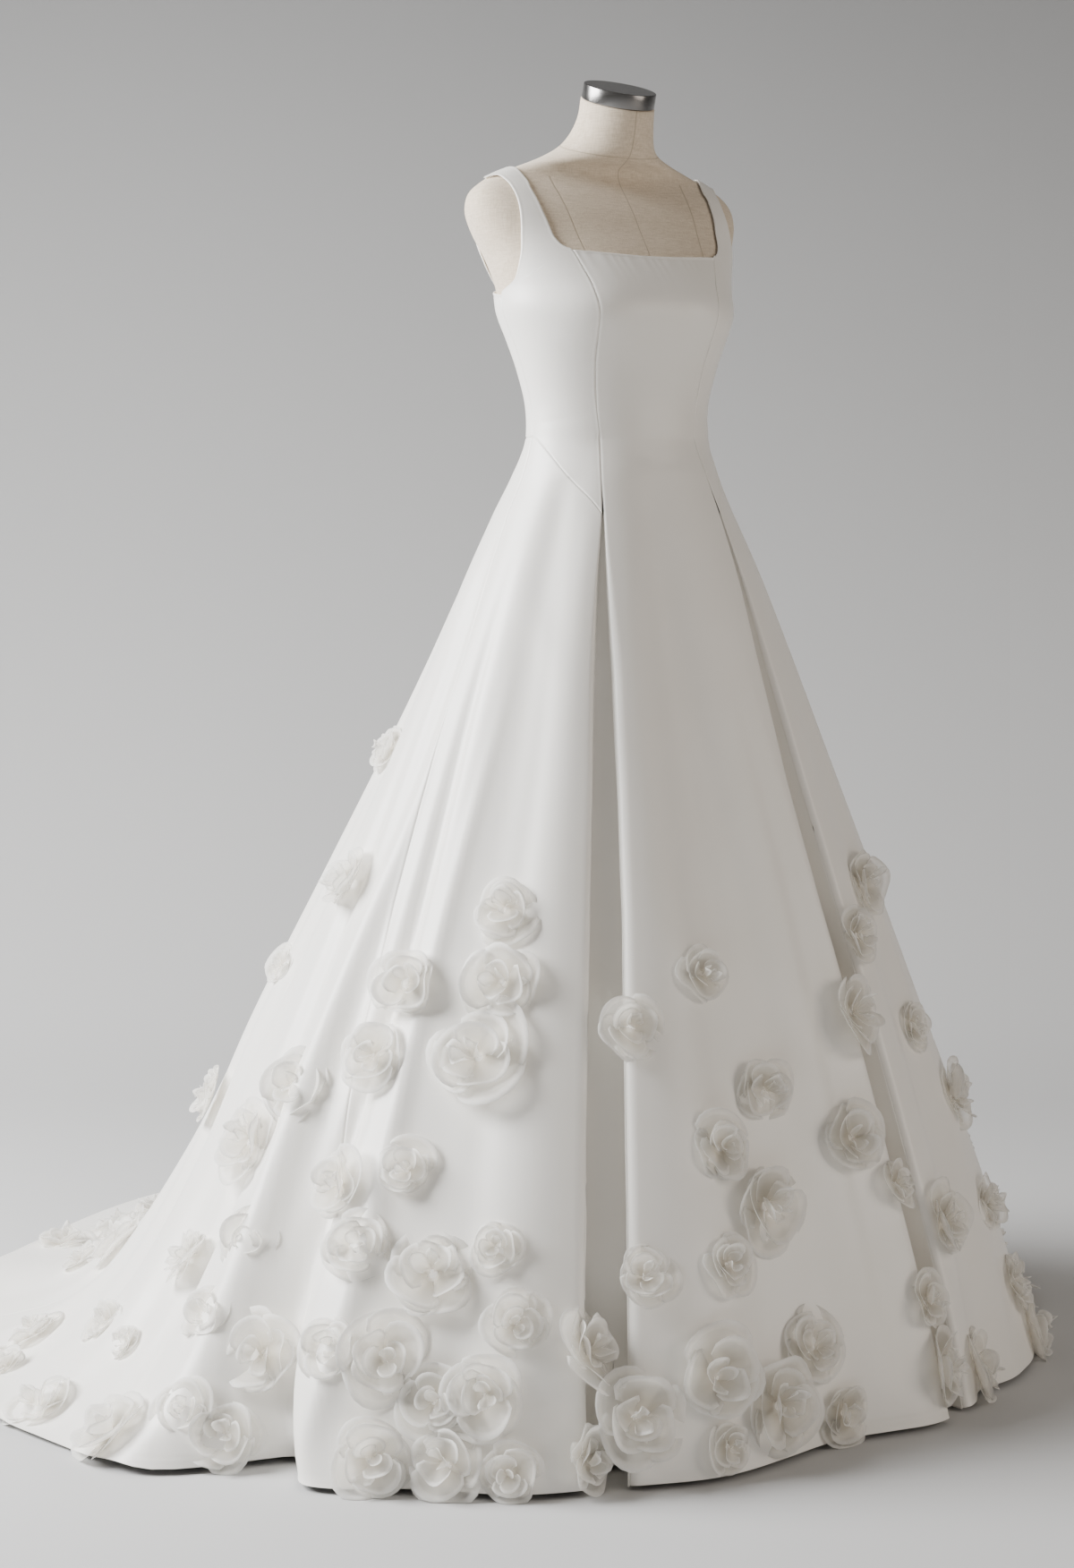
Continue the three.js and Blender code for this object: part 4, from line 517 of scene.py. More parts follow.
def centre_front_at(u, v):
    skirt_rows = [0, 1] + FOLD_ROWS
    heights = PRINCESS_ROWS[::-1]
    count = len(heights) + len(skirt_rows) - 1
    station = v * count
    z = np.interp(station, range(len(heights) + 1), heights + [WAIST])
    z = z - NECKLINE_DIP * np.clip((z - NECKLINE + 40) / 40, 0, 1) * (1 - (2 * u - 1) ** 2)
    row = np.interp(station, np.arange(len(skirt_rows)) + len(heights), skirt_rows)
    on_bodice = station < len(heights)
    right = np.where(on_bodice, princess_azimuth(-1, z), edge_azimuth("centreR", row))
    left = np.where(on_bodice, princess_azimuth(1, z), edge_azimuth("centreL", row))
    return mix(right, left, u), np.where(on_bodice, row_of(z), row), np.full_like(u, REST)


def side_front_skirt_at(letter):
    def at(u, v):
        level = mix(u**1.5, u, np.clip(v * YOKE_FADE, 0, 1))
        row = mix(listed(SEAM_ROWS, v), listed(FOLD_ROWS, v), level)
        return (mix(edge_azimuth("side" + letter, row), edge_azimuth("sideFold" + letter, row), u), row,
                np.full_like(u, REST))
    return at


def back_skirt_at(side, from_name, to_name):
    def at(u, v):
        row = listed(SEAM_ROWS, v)
        end = edge_azimuth(to_name, row) if to_name else np.full_like(row, side * 180.0)
        return mix(edge_azimuth(from_name, row), end, u), row, np.full_like(u, REST)
    return at


def through(rows, u, v):
    """A smooth surface through rows of azimuth, row and air, by their distance from one another."""
    steps = np.diff(gown(rows[..., 0], rows[..., 1], rows[..., 2]), axis=0)
    apart = np.linalg.norm(steps, axis=-1).mean(axis=1)
    down = np.concatenate([[0], np.cumsum(apart)]) / apart.sum()
    across = np.linspace(0, 1, rows.shape[1])
    line = curve(down, rows, v[:, 0], steady=True)
    return np.stack([curve(across, line[i], u[i]) for i in range(len(u))])


def panel_through(rows):
    """The panel whose surface runs through rows of azimuth, row and air."""
    rows = np.array(rows)

    def at(u, v):
        return np.moveaxis(through(rows, u, v), -1, 0)
    return at


def corner_rows(side, us, table, behind):
    rows = []
    for outer_x, outer_z, inner_x, inner_z in table:
        z = mix(outer_z, inner_z, us)
        azimuth = azimuth_at_x(side * mix(outer_x, inner_x, us), z, behind)
        rows.append(np.stack([azimuth, row_of(z), np.full_like(us, REST)], axis=-1))
    return rows


def strap_rows(side, us, behind):
    rows = []
    for way in STRAP_STEPS:
        x = mix(np.interp(way, STRAP_WAYS, STRAP_OUTER), np.interp(way, STRAP_WAYS, STRAP_INNER), us)
        z = mix(STRAP_FOOT, shoulder_height(x) - 0.02, math.sin(way * math.pi / 2))
        azimuth = azimuth_at_x(side * x, z, behind)
        rows.append(np.stack([azimuth, row_of(z), np.full_like(us, mix(REST, SHOULDER_REST, way))], axis=-1))
    return rows


def side_front_bodice_at(side, letter):
    us = np.linspace(0, 1, 12)
    row = 2 * us**1.5
    azimuth = mix(edge_azimuth("side" + letter, row), edge_azimuth("sideFold" + letter, row), us)
    rows = [np.stack([azimuth, row, np.full_like(us, REST)], axis=-1)]
    princess_heights = [SKIRT[1, 0], SKIRT[0, 0], WAIST] + PRINCESS_ROWS
    for i in range(1, len(SIDE_ROWS)):
        z = mix(SIDE_ROWS[i], princess_heights[i], us**SEAM_DIP)
        row = row_of(z)
        seam = np.where(z > WAIST, princess_azimuth(side, np.maximum(z, WAIST)),
                        edge_azimuth("centre" + letter, row))
        rows.append(np.stack([mix(side * SIDE_SEAM, seam, us), row, np.full_like(us, REST)], axis=-1))
    rows += corner_rows(side, us, FRONT_CORNER, False) + strap_rows(side, us, False)
    return panel_through(rows)


def side_back_bodice_at(side):
    def at(u, v):
        z = mix(listed(SIDE_ROWS, v), listed(BACK_ROWS, v), u)
        seam = princess_azimuth(side, z, True)
        return mix(side * SIDE_SEAM, seam, u), row_of(z), np.full_like(u, REST)
    return at


def centre_back_bodice_at(side):
    us = np.linspace(0, 1, 9)
    rows = []
    for i, height in enumerate(BACK_ROWS):
        z = height - BACK_SCOOP * (i / (len(BACK_ROWS) - 1)) ** 4 * us
        azimuth = mix(princess_azimuth(side, z, True), side * 180, us)
        rows.append(np.stack([azimuth, row_of(z), np.full_like(us, REST)], axis=-1))
    rows += corner_rows(side, us, BACK_CORNER, True) + strap_rows(side, us, True)
    return panel_through(rows)


# Cloth edges: how far the cloth rises at a distance from the edge, in millimetres

def pressed_seam(d):
    return -0.8 * bump(d, 1.3) + 0.14 * bump(d - 3.6, 1.8)


def turned_edge(d):
    return -0.5 * bump(d, 0.6) + 0.55 * bump(d - 1.7, 1.2) - 0.3 * bump(d - 4.4, 1.1)


def pleat_roll(below_yoke):
    """Radius of a pleat's fold, pressed sharp at the yoke and soft further down."""
    return mix(FOLD_SHARP, FOLD_SOFT, smooth(below_yoke / FOLD_SOFTENS))


def pleat_fold(d, below_yoke):
    radius = pleat_roll(below_yoke)
    inside = np.clip(radius - d, 0, radius)
    return -(radius - np.sqrt(radius**2 - 0.96 * inside**2))


def hem_edge(d):
    return -0.25 * bump(d - 14, 1.2) + 0.3 * bump(d, 3.0)


def butted(d):
    return -0.25 * bump(d, 1.0)


# Millimetres in from a panel's edge at which its grid has lines, for the seams and folds
EDGE_STEPS = [0, 0.6, 1.4, 2.5, 4.0, 6.0, 8.6, 12.0]


def spaced_shares(width, count):
    """Shares across a width, close together at both edges and even between them."""
    steps = np.array(EDGE_STEPS)[None, :] / width[:, None]
    inner = np.linspace(0, 1, count)[None, 1:-1]
    first = steps[:, -1:]
    middle = first + inner * (1 - 2 * first)
    return np.concatenate([steps, middle, 1 - steps[:, ::-1]], axis=1)


def distances(points, axis):
    """Distances along the cloth from a grid's first line, in millimetres."""
    steps = np.linalg.norm(np.diff(points, axis=axis), axis=-1)
    zero = np.zeros_like(np.take(steps, [0], axis=axis))
    return np.concatenate([zero, np.cumsum(steps, axis=axis)], axis=axis)


def grid_out(points):
    """The way out of a grid at each of its points."""
    across = np.gradient(points, axis=1)
    down = np.gradient(points, axis=0)
    out = np.cross(down, across)
    return out / np.maximum(np.linalg.norm(out, axis=-1, keepdims=True), 1e-9)


def panel_points(at, across, down, edges, puckers=()):
    """A panel's points, their distances from its left edge and from its top in millimetres, and
    which way its grid faces. edges are the rises at u=0, u=1, v=0 and v=1, by the distance from
    that edge, and puckers are the rises by all four distances."""
    v_rough = np.linspace(0, 1, 40)
    u_rough = np.linspace(0, 1, 9)
    rough = gown(*at(*np.meshgrid(u_rough, v_rough)))
    width = distances(rough, 1)[:, -1]
    length = distances(rough, 0)[-1].mean()
    v = spaced_shares(np.array([length]), down)[0]
    widths = np.interp(v, v_rough, width)
    u = spaced_shares(np.maximum(widths, 40.0), across)
    azimuth, row, rest = at(u, np.repeat(v[:, None], u.shape[1], axis=1))
    points = gown(azimuth, row, rest)
    out = grid_out(points)
    turn = np.sign(np.median(np.sum(out[..., :2] * points[..., :2], axis=-1))) or 1
    out = out * turn
    from_left = distances(points, 1)
    from_top = distances(points, 0)
    to_right = from_left[:, -1:] - from_left
    to_bottom = from_top[-1:] - from_top
    rise = sum(edge(d) for edge, d in zip(edges, (from_left, to_right, from_top, to_bottom)) if edge)
    for pucker in puckers:
        rise = rise + pucker(from_left, to_right, from_top, to_bottom)
    points = points + out * rise[..., None]
    points[..., 2] = np.maximum(points[..., 2], LOWEST_CLOTH)
    return points, from_left, from_top, turn


# Meshes

def smooth_shade(mesh):
    mesh.polygons.foreach_set("use_smooth", [True] * len(mesh.polygons))


def object_of(name, bm, material):
    mesh = bpy.data.meshes.new(name)
    bm.to_mesh(mesh)
    bm.free()
    smooth_shade(mesh)
    piece = bpy.data.objects.new(name, mesh)
    bpy.context.scene.collection.objects.link(piece)
    mesh.materials.append(material)
    return piece


def grid_mesh(bm, points, uv, flip=False):
    """Lays a grid of cloth on points in millimetres, with its own coordinates in metres."""
    down, across = points.shape[:2]
    made = bmesh.ops.create_grid(bm, x_segments=across - 1, y_segments=down - 1, size=0.5)["verts"]
    places = points.reshape(-1, 3) * MM
    order = {}
    for vert in made:
        j = round((vert.co.x + 0.5) * (across - 1))
        i = round((vert.co.y + 0.5) * (down - 1))
        order[vert] = i * across + j
    layer = bm.loops.layers.uv.verify()
    faces = {face for vert in made for face in vert.link_faces}
    flat = uv.reshape(-1, 2)
    for face in faces:
        for loop in face.loops:
            loop[layer].uv = flat[order[loop.vert]]
    for vert, place in order.items():
        vert.co = places[place]
    if flip:
        bmesh.ops.reverse_faces(bm, faces=list(faces))
    return made


def solidify(piece, thickness, offset=-1.0):
    wall = piece.modifiers.new("Cloth thickness", "SOLIDIFY")
    wall.thickness = thickness
    wall.offset = offset
    wall.use_even_offset = False
    wall.use_rim = True
    return wall


def finish_piece(piece, slot_name, *nodes, body="dress"):
    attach(piece, body)
    if nodes:
        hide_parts(*nodes)
    return piece


def cloth_piece(node, grid, material):
    """Makes the cloth that stands for a panel's node. grid is what panel_points gives."""
    points, across, along, turn = grid
    bm = bmesh.new()
    uv = np.stack([across, along], axis=-1) * MM
    grid_mesh(bm, points, uv, flip=turn > 0)
    piece = object_of(f"{node}_cloth", bm, material)
    solidify(piece, bpy.context.scene.gown_sizes.cloth)
    finish_piece(piece, "satin", node)
    return piece


# Materials

def srgb(text):
    """An sRGB hex value as linear red, green, blue and alpha."""
    values = [int(text[k:k + 2], 16) / 255 for k in (0, 2, 4)]
    return [v / 12.92 if v <= 0.04045 else ((v + 0.055) / 1.055) ** 2.4 for v in values] + [1.0]


def add_node(tree, kind, links=(), outputs=(), **settings):
    """Adds a node with its settings. links are (input, socket) pairs and values by input name."""
    node = tree.nodes.new(kind)
    for key, value in settings.items():
        setattr(node, key, value)
    for name, source in links:
        target = node.inputs[name]
        if isinstance(source, bpy.types.NodeSocket):
            tree.links.new(source, target)
        else:
            target.default_value = source
    for socket, target in outputs:
        tree.links.new(node.outputs[socket], target)
    return node


def new_material(name, **principled):
    material = bpy.data.materials.new(name)
    material.use_nodes = True
    tree = material.node_tree
    shader = tree.nodes["Principled BSDF"]
    for key, value in principled.items():
        shader.inputs[key.replace("_", " ")].default_value = value
    return material, tree, shader


def opaque(colour):
    return tuple(colour) + (1,)


def noise(tree, vector, scale, detail):
    links = [("Vector", vector), ("Scale", scale), ("Detail", detail)]
    return add_node(tree, "ShaderNodeTexNoise", links).outputs["Fac"]


def ranged(tree, value, from_min=0.0, from_max=1.0, to_min=0.0, to_max=1.0):
    """A value carried over from one range to another."""
    links = [("Value", value), ("From Min", from_min), ("From Max", from_max), ("To Min", to_min),
             ("To Max", to_max)]
    return add_node(tree, "ShaderNodeMapRange", links).outputs[0]


def blended(tree, share, first, second):
    """A colour between two others."""
    links = [("Factor", share), ("A", first), ("B", second)]
    return add_node(tree, "ShaderNodeMix", links, data_type="RGBA").outputs["Result"]


def woven(tree, place, across, upright):
    """Threads both ways: two noises, each stretched along its threads, added up."""
    ways = [add_node(tree, "ShaderNodeMapping", [("Vector", place), ("Scale", scale)])
            for scale in (across, upright)]
    slubs = [noise(tree, way.outputs[0], 1.0, 2.0) for way in ways]
    return add_node(tree, "ShaderNodeMath", list(enumerate(slubs)), operation="ADD").outputs[0]


def layered(tree, share, first, second):
    """Two shaders laid over each other, as the material's surface."""
    mixed = add_node(tree, "ShaderNodeMixShader", [("Fac", share), (1, first), (2, second)])
    tree.links.new(mixed.outputs[0], tree.nodes["Material Output"].inputs["Surface"])


def bumped(tree, shader, height, strength, distance):
    add_node(tree, "ShaderNodeBump", [("Height", height), ("Strength", strength), ("Distance", distance)],
             [("Normal", shader.inputs["Normal"])])


# Heavy silk satin, piece dyed ivory: a smooth weft face with a soft sheen and a faint slub
def silk_satin(colours):
    material, tree, shader = new_material("silk_satin", Roughness=0.36, Sheen_Weight=0.12,
                                          Sheen_Roughness=0.45, Specular_IOR_Level=0.5)
    uv = add_node(tree, "ShaderNodeTexCoord").outputs["UV"]
    # Warp threads are 0.12 mm apart, drawn 1.4 mm apart so that they show
    threads = woven(tree, uv, (700, 36, 1), (30, 700, 1))
    cloud = noise(tree, uv, 9.0, 3.0)
    tone = blended(tree, cloud, opaque(colours.satin), opaque(colours.satin_shade))
    tree.links.new(tone, shader.inputs["Base Color"])
    tree.links.new(ranged(tree, cloud, to_min=0.31, to_max=0.43), shader.inputs["Roughness"])
    bumped(tree, shader, threads, 0.12, 0.0004)
    return material


# Crisp silk organza, cut raw and heat curled: sheer in one layer and milky where layers lie
# over each other. The curled rim is more opaque cloth, drawn whiter as a painted highlight,
# and the inner part of each petal is tinted warmer as painted shade in the rosette's heart
def silk_organza(colours):
    material, tree, shader = new_material("silk_organza", Roughness=0.5, Sheen_Weight=0.35,
                                          Sheen_Roughness=0.4, Specular_IOR_Level=0.35)
    uv = add_node(tree, "ShaderNodeTexCoord").outputs["UV"]
    outward = add_node(tree, "ShaderNodeSeparateXYZ", [("Vector", uv)]).outputs["Y"]
    rim = ranged(tree, outward, 0.8, 0.98)
    # Painted shade: the inner part of each petal, towards the rosette's heart, takes the warmer, darker heart
    # colour
    heart = ranged(tree, outward, 0.0, 0.7)
    tint = blended(tree, heart, opaque(colours.organza_heart_shade), opaque(colours.organza))
    # Painted highlight: towards the rim the petal is drawn near white, FFFEFB; the rim's higher alpha is the
    # denser curled cloth
    tree.links.new(blended(tree, rim, tint, srgb("FFFEFB")), shader.inputs["Base Color"])
    tree.links.new(ranged(tree, rim, to_min=0.2, to_max=0.68), shader.inputs["Alpha"])
    # A soft grain in each petal: single threads are too fine to be drawn
    bumped(tree, shader, noise(tree, uv, 60.0, 2.0), 0.15, 0.0003)
    # Light that falls on the back of a petal shines through it
    through_light = add_node(tree, "ShaderNodeBsdfTranslucent", [("Color", tint)])
    layered(tree, 0.2, shader.outputs[0], through_light.outputs[0])
    return material


# The form's seam lines, each a distance kept on the mesh
FORM_SEAMS = ("seam_centre", "seam_princess", "seam_neck")


# Unbleached linen in plain weave, stretched over padding: matt, with slubs both ways
def natural_linen(colours):
    material, tree, shader = new_material("natural_linen", Roughness=0.92, Sheen_Weight=0.3,
                                          Sheen_Roughness=0.6, Specular_IOR_Level=0.2)
    place = add_node(tree, "ShaderNodeTexCoord").outputs["Object"]
    # Linen threads are 0.6 mm apart, drawn 1.6 mm apart so that they show
    threads = woven(tree, place, (620, 620, 60), (70, 70, 620))
    weave = ranged(tree, threads, 0.7, 1.3)
    cloth = blended(tree, weave, opaque(colours.linen_shade), opaque(colours.linen))
    # The form's seams: a darker line that fades out 1.1 mm to each side
    nearest = 0.1
    for name in FORM_SEAMS:
        signed = add_node(tree, "ShaderNodeAttribute", attribute_name=name).outputs["Fac"]
        distance = add_node(tree, "ShaderNodeMath", [(0, signed)], operation="ABSOLUTE").outputs[0]
        nearest = add_node(tree, "ShaderNodeMath", [(0, distance), (1, nearest)],
                           operation="MINIMUM").outputs[0]
    line = ranged(tree, nearest, 0.0003, 0.0011)
    tree.links.new(blended(tree, line, srgb("B5A58F"), cloth), shader.inputs["Base Color"])
    height = add_node(tree, "ShaderNodeMath", [(0, threads), (1, 0.25), (2, line)],
                      operation="MULTIPLY_ADD").outputs[0]
    bumped(tree, shader, height, 0.5, 0.0006)
    return material


# Stainless steel turned on a lathe and brushed round its rim
def brushed_steel(colours):
    material, tree, shader = new_material("brushed_steel", Metallic=1.0, Roughness=0.25)
    shader.inputs["Base Color"].default_value = opaque(colours.steel)
    place = add_node(tree, "ShaderNodeTexCoord").outputs["Object"]
    # Brush lines about half a millimetre apart run round the rim
    brushed = add_node(tree, "ShaderNodeMapping", [("Vector", place), ("Rotation", (-NECK_TILT * RAD, 0, 0)),
                                                  ("Scale", (12, 12, 1800))])
    grain = noise(tree, brushed.outputs[0], 1.0, 3.0)
    tree.links.new(ranged(tree, grain, to_min=0.16, to_max=0.3), shader.inputs["Roughness"])
    bumped(tree, shader, grain, 0.2, 0.0002)
    return material


def clouded_paint(name, scale, light, dark, strength, distance, **principled):
    """A plain coat whose tone and height change softly between two colours."""
    material, tree, shader = new_material(name, **principled)
    place = add_node(tree, "ShaderNodeTexCoord").outputs["Object"]
    cloud = noise(tree, place, scale, 2.0)
    tree.links.new(blended(tree, cloud, srgb(light), srgb(dark)), shader.inputs["Base Color"])
    bumped(tree, shader, cloud, strength, distance)
    return material


# Zinc die casting, barrel polished and lacquered ivory
def lacquered_zinc():
    return clouded_paint("lacquered_zinc", 300.0, "E9E6DF", "DCD8CF", 0.1, 0.0001, Metallic=0.0,
                         Roughness=0.32, Coat_Weight=0.4)


# Powder coated steel tube and plate: fine orange peel
def powder_coat():
    return clouded_paint("powder_coat", 700.0, "DDDCD9", "D2D1CE", 0.15, 0.0002, Roughness=0.45)


def shared_material(name, make, *words):
    return bpy.data.materials.get(name) or make(*words)


# Settings

class GownSizes(bpy.types.PropertyGroup):
    cloth: bpy.props.FloatProperty(name="Satin thickness", description="Thickness of the satin shell",
                                   default=1.5 * MM, unit="LENGTH")
    organza: bpy.props.FloatProperty(name="Organza thickness", description="Thickness of one organza petal",
                                     default=0.35 * MM, unit="LENGTH")
    petals: bpy.props.IntProperty(name="Petals", description="Petals of one rosette", default=11,
                                  min=10, max=16)
    flower_height: bpy.props.FloatProperty(name="Flower height", default=0.6, min=0.2, max=1,
                                           description="Height of a rosette as a share of its radius")


class GownColours(bpy.types.PropertyGroup):
    satin: bpy.props.FloatVectorProperty(name="Satin", description="Ivory satin", subtype="COLOR",
                                         default=srgb("F7F5F1")[:3])
    satin_shade: bpy.props.FloatVectorProperty(name="Satin shade", description="Satin where it is duller",
                                               subtype="COLOR", default=srgb("F2EFE8")[:3])
    organza: bpy.props.FloatVectorProperty(name="Organza", description="Petal", subtype="COLOR",
                                           default=srgb("FCFAF5")[:3])
    # Painted shade: the warmer, darker tint of a petal's inner part, where the rosette's heart is shaded
    organza_heart_shade: bpy.props.FloatVectorProperty(name="Organza heart", description="Inner part of a petal",
                                                 subtype="COLOR", default=srgb("FAF5EA")[:3])
    linen: bpy.props.FloatVectorProperty(name="Linen", description="Linen of the form", subtype="COLOR",
                                         default=srgb("E2D3BE")[:3])
    linen_shade: bpy.props.FloatVectorProperty(name="Linen slub", description="Darker threads of the linen",
                                               subtype="COLOR", default=srgb("C9B8A1")[:3])
    steel: bpy.props.FloatVectorProperty(name="Steel", description="Neck cap", subtype="COLOR",
                                         default=srgb("8E8D8C")[:3])


class StageSizes(bpy.types.PropertyGroup):
    eye: bpy.props.FloatVectorProperty(name="Eye", description="Place of the camera", subtype="TRANSLATION",
                                       default=(-2.0602, -3.4287, 1.163), unit="LENGTH")
    turn: bpy.props.FloatProperty(name="Turn", description="Camera's heading from +Y towards +X",
                                  default=29.4 * RAD, subtype="ANGLE")
    dip: bpy.props.FloatProperty(name="Dip", description="How far the camera looks down", default=4.987 * RAD,
                                 subtype="ANGLE")
    lens: bpy.props.FloatProperty(name="Lens", description="Focal length in millimetres", default=96)
    key: bpy.props.FloatProperty(name="Key light", description="Power of the large soft light", default=520,
                                 unit="POWER")
    fill: bpy.props.FloatProperty(name="Fill light", description="Power of the weak light beside the camera",
                                  default=70, unit="POWER")
    air: bpy.props.FloatProperty(name="Air", description="Strength of the light from all round", default=0.24)


# Pieces

class GOWN_OT_centre_front(bpy.types.Operator):
    """Cuts the centre front from the square neckline to the hem in one piece"""
    bl_idname = "gown.centre_front"
    bl_label = "Centre front"

    def execute(self, context):
        satin = shared_material("silk_satin", silk_satin, context.scene.gown_colours)

        edges = (None, None, turned_edge, hem_edge)
        grid = panel_points(centre_front_at, 60, 190, edges, (neckline_ease, pleat_and_seam))
        cloth_piece("centre_front", grid, satin)
        return {"FINISHED"}


def neckline_ease(left, right, top, bottom):
    """Ease under the neckline, where the facing pulls."""
    ripple = np.sin(left * 0.42 + 2 * np.sin(left * 0.11))
    return 0.5 * ripple * np.exp(-top / 16) * (top > 1.5)


def pleat_and_seam(left, right, top, bottom):
    """The centre front's long edges are a pressed seam on the bodice and a fold on the skirt."""
    folded = smooth((top - YOKE_DOWN + 20) / 40)
    below = np.maximum(top - YOKE_DOWN, 0)
    return sum(mix(pressed_seam(d), pleat_fold(d, below), folded) for d in (left, right))


class GOWN_OT_side_fronts(bpy.types.Operator):
    """Cuts both side fronts: the bodice with the front strap, and the skirt under the yoke seam"""
    bl_idname = "gown.side_fronts"
    bl_label = "Side fronts"

    def execute(self, context):
        satin = shared_material("silk_satin", silk_satin, context.scene.gown_colours)
        for side, letter, name in SIDES:
            edges = (pressed_seam, None, pressed_seam, hem_edge)
            grid = panel_points(side_front_skirt_at(letter), 44, 120, edges, (outer_fold,))
            cloth_piece(f"side_front_skirt_{name}", grid, satin)
            edges = (seam_and_turning, seam_and_turning, pressed_seam, butted)
            grid = panel_points(side_front_bodice_at(side, letter), 26, 90, edges)
            cloth_piece(f"side_front_bodice_{name}", grid, satin)
        return {"FINISHED"}


def outer_fold(left, right, top, bottom):
    """The side front's fold of the pleat."""
    return pleat_fold(right, top)


def seam_and_turning(d):
    """An edge that is a seam for one part of its length and a turned edge for the other, drawn half
    as strong as either: side seam and armhole, or princess seam and neckline."""
    return 0.5 * (pressed_seam(d) + turned_edge(d))


class GOWN_OT_pleats(bpy.types.Operator):
    """Folds the underlay of each inverted pleat, between the centre front and the side front"""
    bl_idname = "gown.pleats"
    bl_label = "Pleat underlays"

    def execute(self, context):
        satin = shared_material("silk_satin", silk_satin, context.scene.gown_colours)
        for side, letter, name in SIDES:
            cloth_piece(f"pleat_underlay_{name}", self.underlay(side, letter), satin)
        return {"FINISHED"}

    def underlay(self, side, letter):
        """The grid of an underlay: from behind one fold it runs in, across the bed and out again."""
        v = np.linspace(0, 1, 110)
        row = listed(FOLD_ROWS, v)
        centre, centre_out = self.edge(edge_azimuth("centre" + letter, row), row)
        beside, beside_out = self.edge(edge_azimuth("sideFold" + letter, row), row)
        depth = mix(PLEAT_TOP_DEPTH, PLEAT_DEPTH, v)[:, None]
        middle = (centre + beside) / 2
        inward = -middle * [1, 1, 0]
        inward /= np.linalg.norm(inward, axis=-1, keepdims=True)
        along = (beside - centre) * [1, 1, 0]
        along -= inward * np.sum(along * inward, axis=-1, keepdims=True)
        along /= np.maximum(np.linalg.norm(along, axis=-1, keepdims=True), 1e-6)

        def reach(p):
            return -np.sum(p * inward, axis=-1, keepdims=True)

        bed_reach = np.minimum(reach(centre), reach(beside)) - depth

        def bed(p, spread):
            return p + along * spread + inward * (reach(p) - bed_reach)

        start = mix(2.4, 9.0, smooth(v / 0.2))[:, None]
        arm = mix(1, 6, v)[:, None]
        spread = mix(0.2, 14, v)[:, None]
        a = centre - centre_out * (start + arm)
        d = beside - beside_out * (start + arm)
        b = bed(centre, -spread)
        c = bed(beside, spread)
        across_bed = [mix(b, c, share) for share in (0.08, 0.3, 0.5, 0.7, 0.92)]
        marks = np.stack([centre - centre_out * start, a, mix(b, a, 0.1), *across_bed, mix(c, d, 0.1), d,
                          beside - beside_out * start], axis=1)
        stations = np.linspace(0, 1, marks.shape[1])
        shares = np.linspace(0, 1, 41)
        points = np.stack([curve(stations, line, shares) for line in marks])
        out = grid_out(points)
        # The bed is the middle part of the grid, and it faces away from the form
        turn = np.sign(np.median(np.sum(out[:, 15:26] * points[:, 15:26], axis=-1)))
        soft = 2.2 * waves(points[..., 0], points[..., 2], 3 + side, 160) * v[:, None]
        inner = np.sin(np.linspace(0, math.pi, 41)) ** 0.5
        points = points + out * turn * (soft * inner)[..., None]
        points[..., 2] = np.maximum(points[..., 2], LOWEST_CLOTH)
        return points, distances(points, 1), distances(points, 0), turn

    def edge(self, azimuth, row):
        """A fold's points, and the way out of the gown there."""
        point = gown(azimuth, row)
        across = gown(azimuth + 0.5, row) - gown(azimuth - 0.5, row)
        below = gown(azimuth, np.minimum(row + 0.05, SKIRT_ROWS))
        down = below - gown(azimuth, np.minimum(row, 11.95) - 0.05)
        out = np.cross(down, across)
        return point, out / np.linalg.norm(out, axis=-1, keepdims=True)


class GOWN_OT_backs(bpy.types.Operator):
    """Cuts the back: side and centre back bodices, and the back skirt with its train"""
    bl_idname = "gown.backs"
    bl_label = "Back and train"

    def execute(self, context):
        satin = shared_material("silk_satin", silk_satin, context.scene.gown_colours)
        for side, letter, name in SIDES:
            panels = [
                ("side_back_skirt", back_skirt_at(side, "side" + letter, "back" + letter), 50, 120,
                 (pressed_seam, pressed_seam, pressed_seam, hem_edge)),
                ("centre_back_skirt", back_skirt_at(side, "back" + letter, None), 50, 130,
                 (pressed_seam, pressed_seam, pressed_seam, hem_edge)),
                ("side_back_bodice", side_back_bodice_at(side), 16, 34,
                 (pressed_seam, pressed_seam, pressed_seam, turned_edge)),
                ("centre_back_bodice", centre_back_bodice_at(side), 22, 80,
                 (seam_and_turning, seam_and_turning, pressed_seam, butted)),
            ]
            for panel, at, across_count, down_count, edges in panels:
                cloth_piece(f"{panel}_{name}", panel_points(at, across_count, down_count, edges), satin)
        return {"FINISHED"}


# Flowers

def solid_grid(name):
    """The points of a skirt panel's solid, by row and by column from the viewer's left."""
    if name == "centre_front":
        vs = np.arange(21) / 20
        u, v = np.meshgrid(CENTRE_COLUMNS, vs)
        return gown(*centre_front_at(u, v)[:2], creased=False)
    side, letter, _ = SIDES[0] if name.endswith("right") else SIDES[1]
    if name.startswith("side_front"):
        at, columns, reverse = side_front_skirt_at(letter), 12, side > 0
    elif name.startswith("side_back"):
        at, columns, reverse = back_skirt_at(side, "side" + letter, "back" + letter), 12, side < 0
    else:
        at, columns, reverse = back_skirt_at(side, "back" + letter, None), 10, side < 0
    u, v = np.meshgrid(np.linspace(0, 1, columns), np.linspace(0, 1, 12))
    points = gown(*at(u, v)[:2], creased=False)
    return points[:, ::-1] if reverse else points


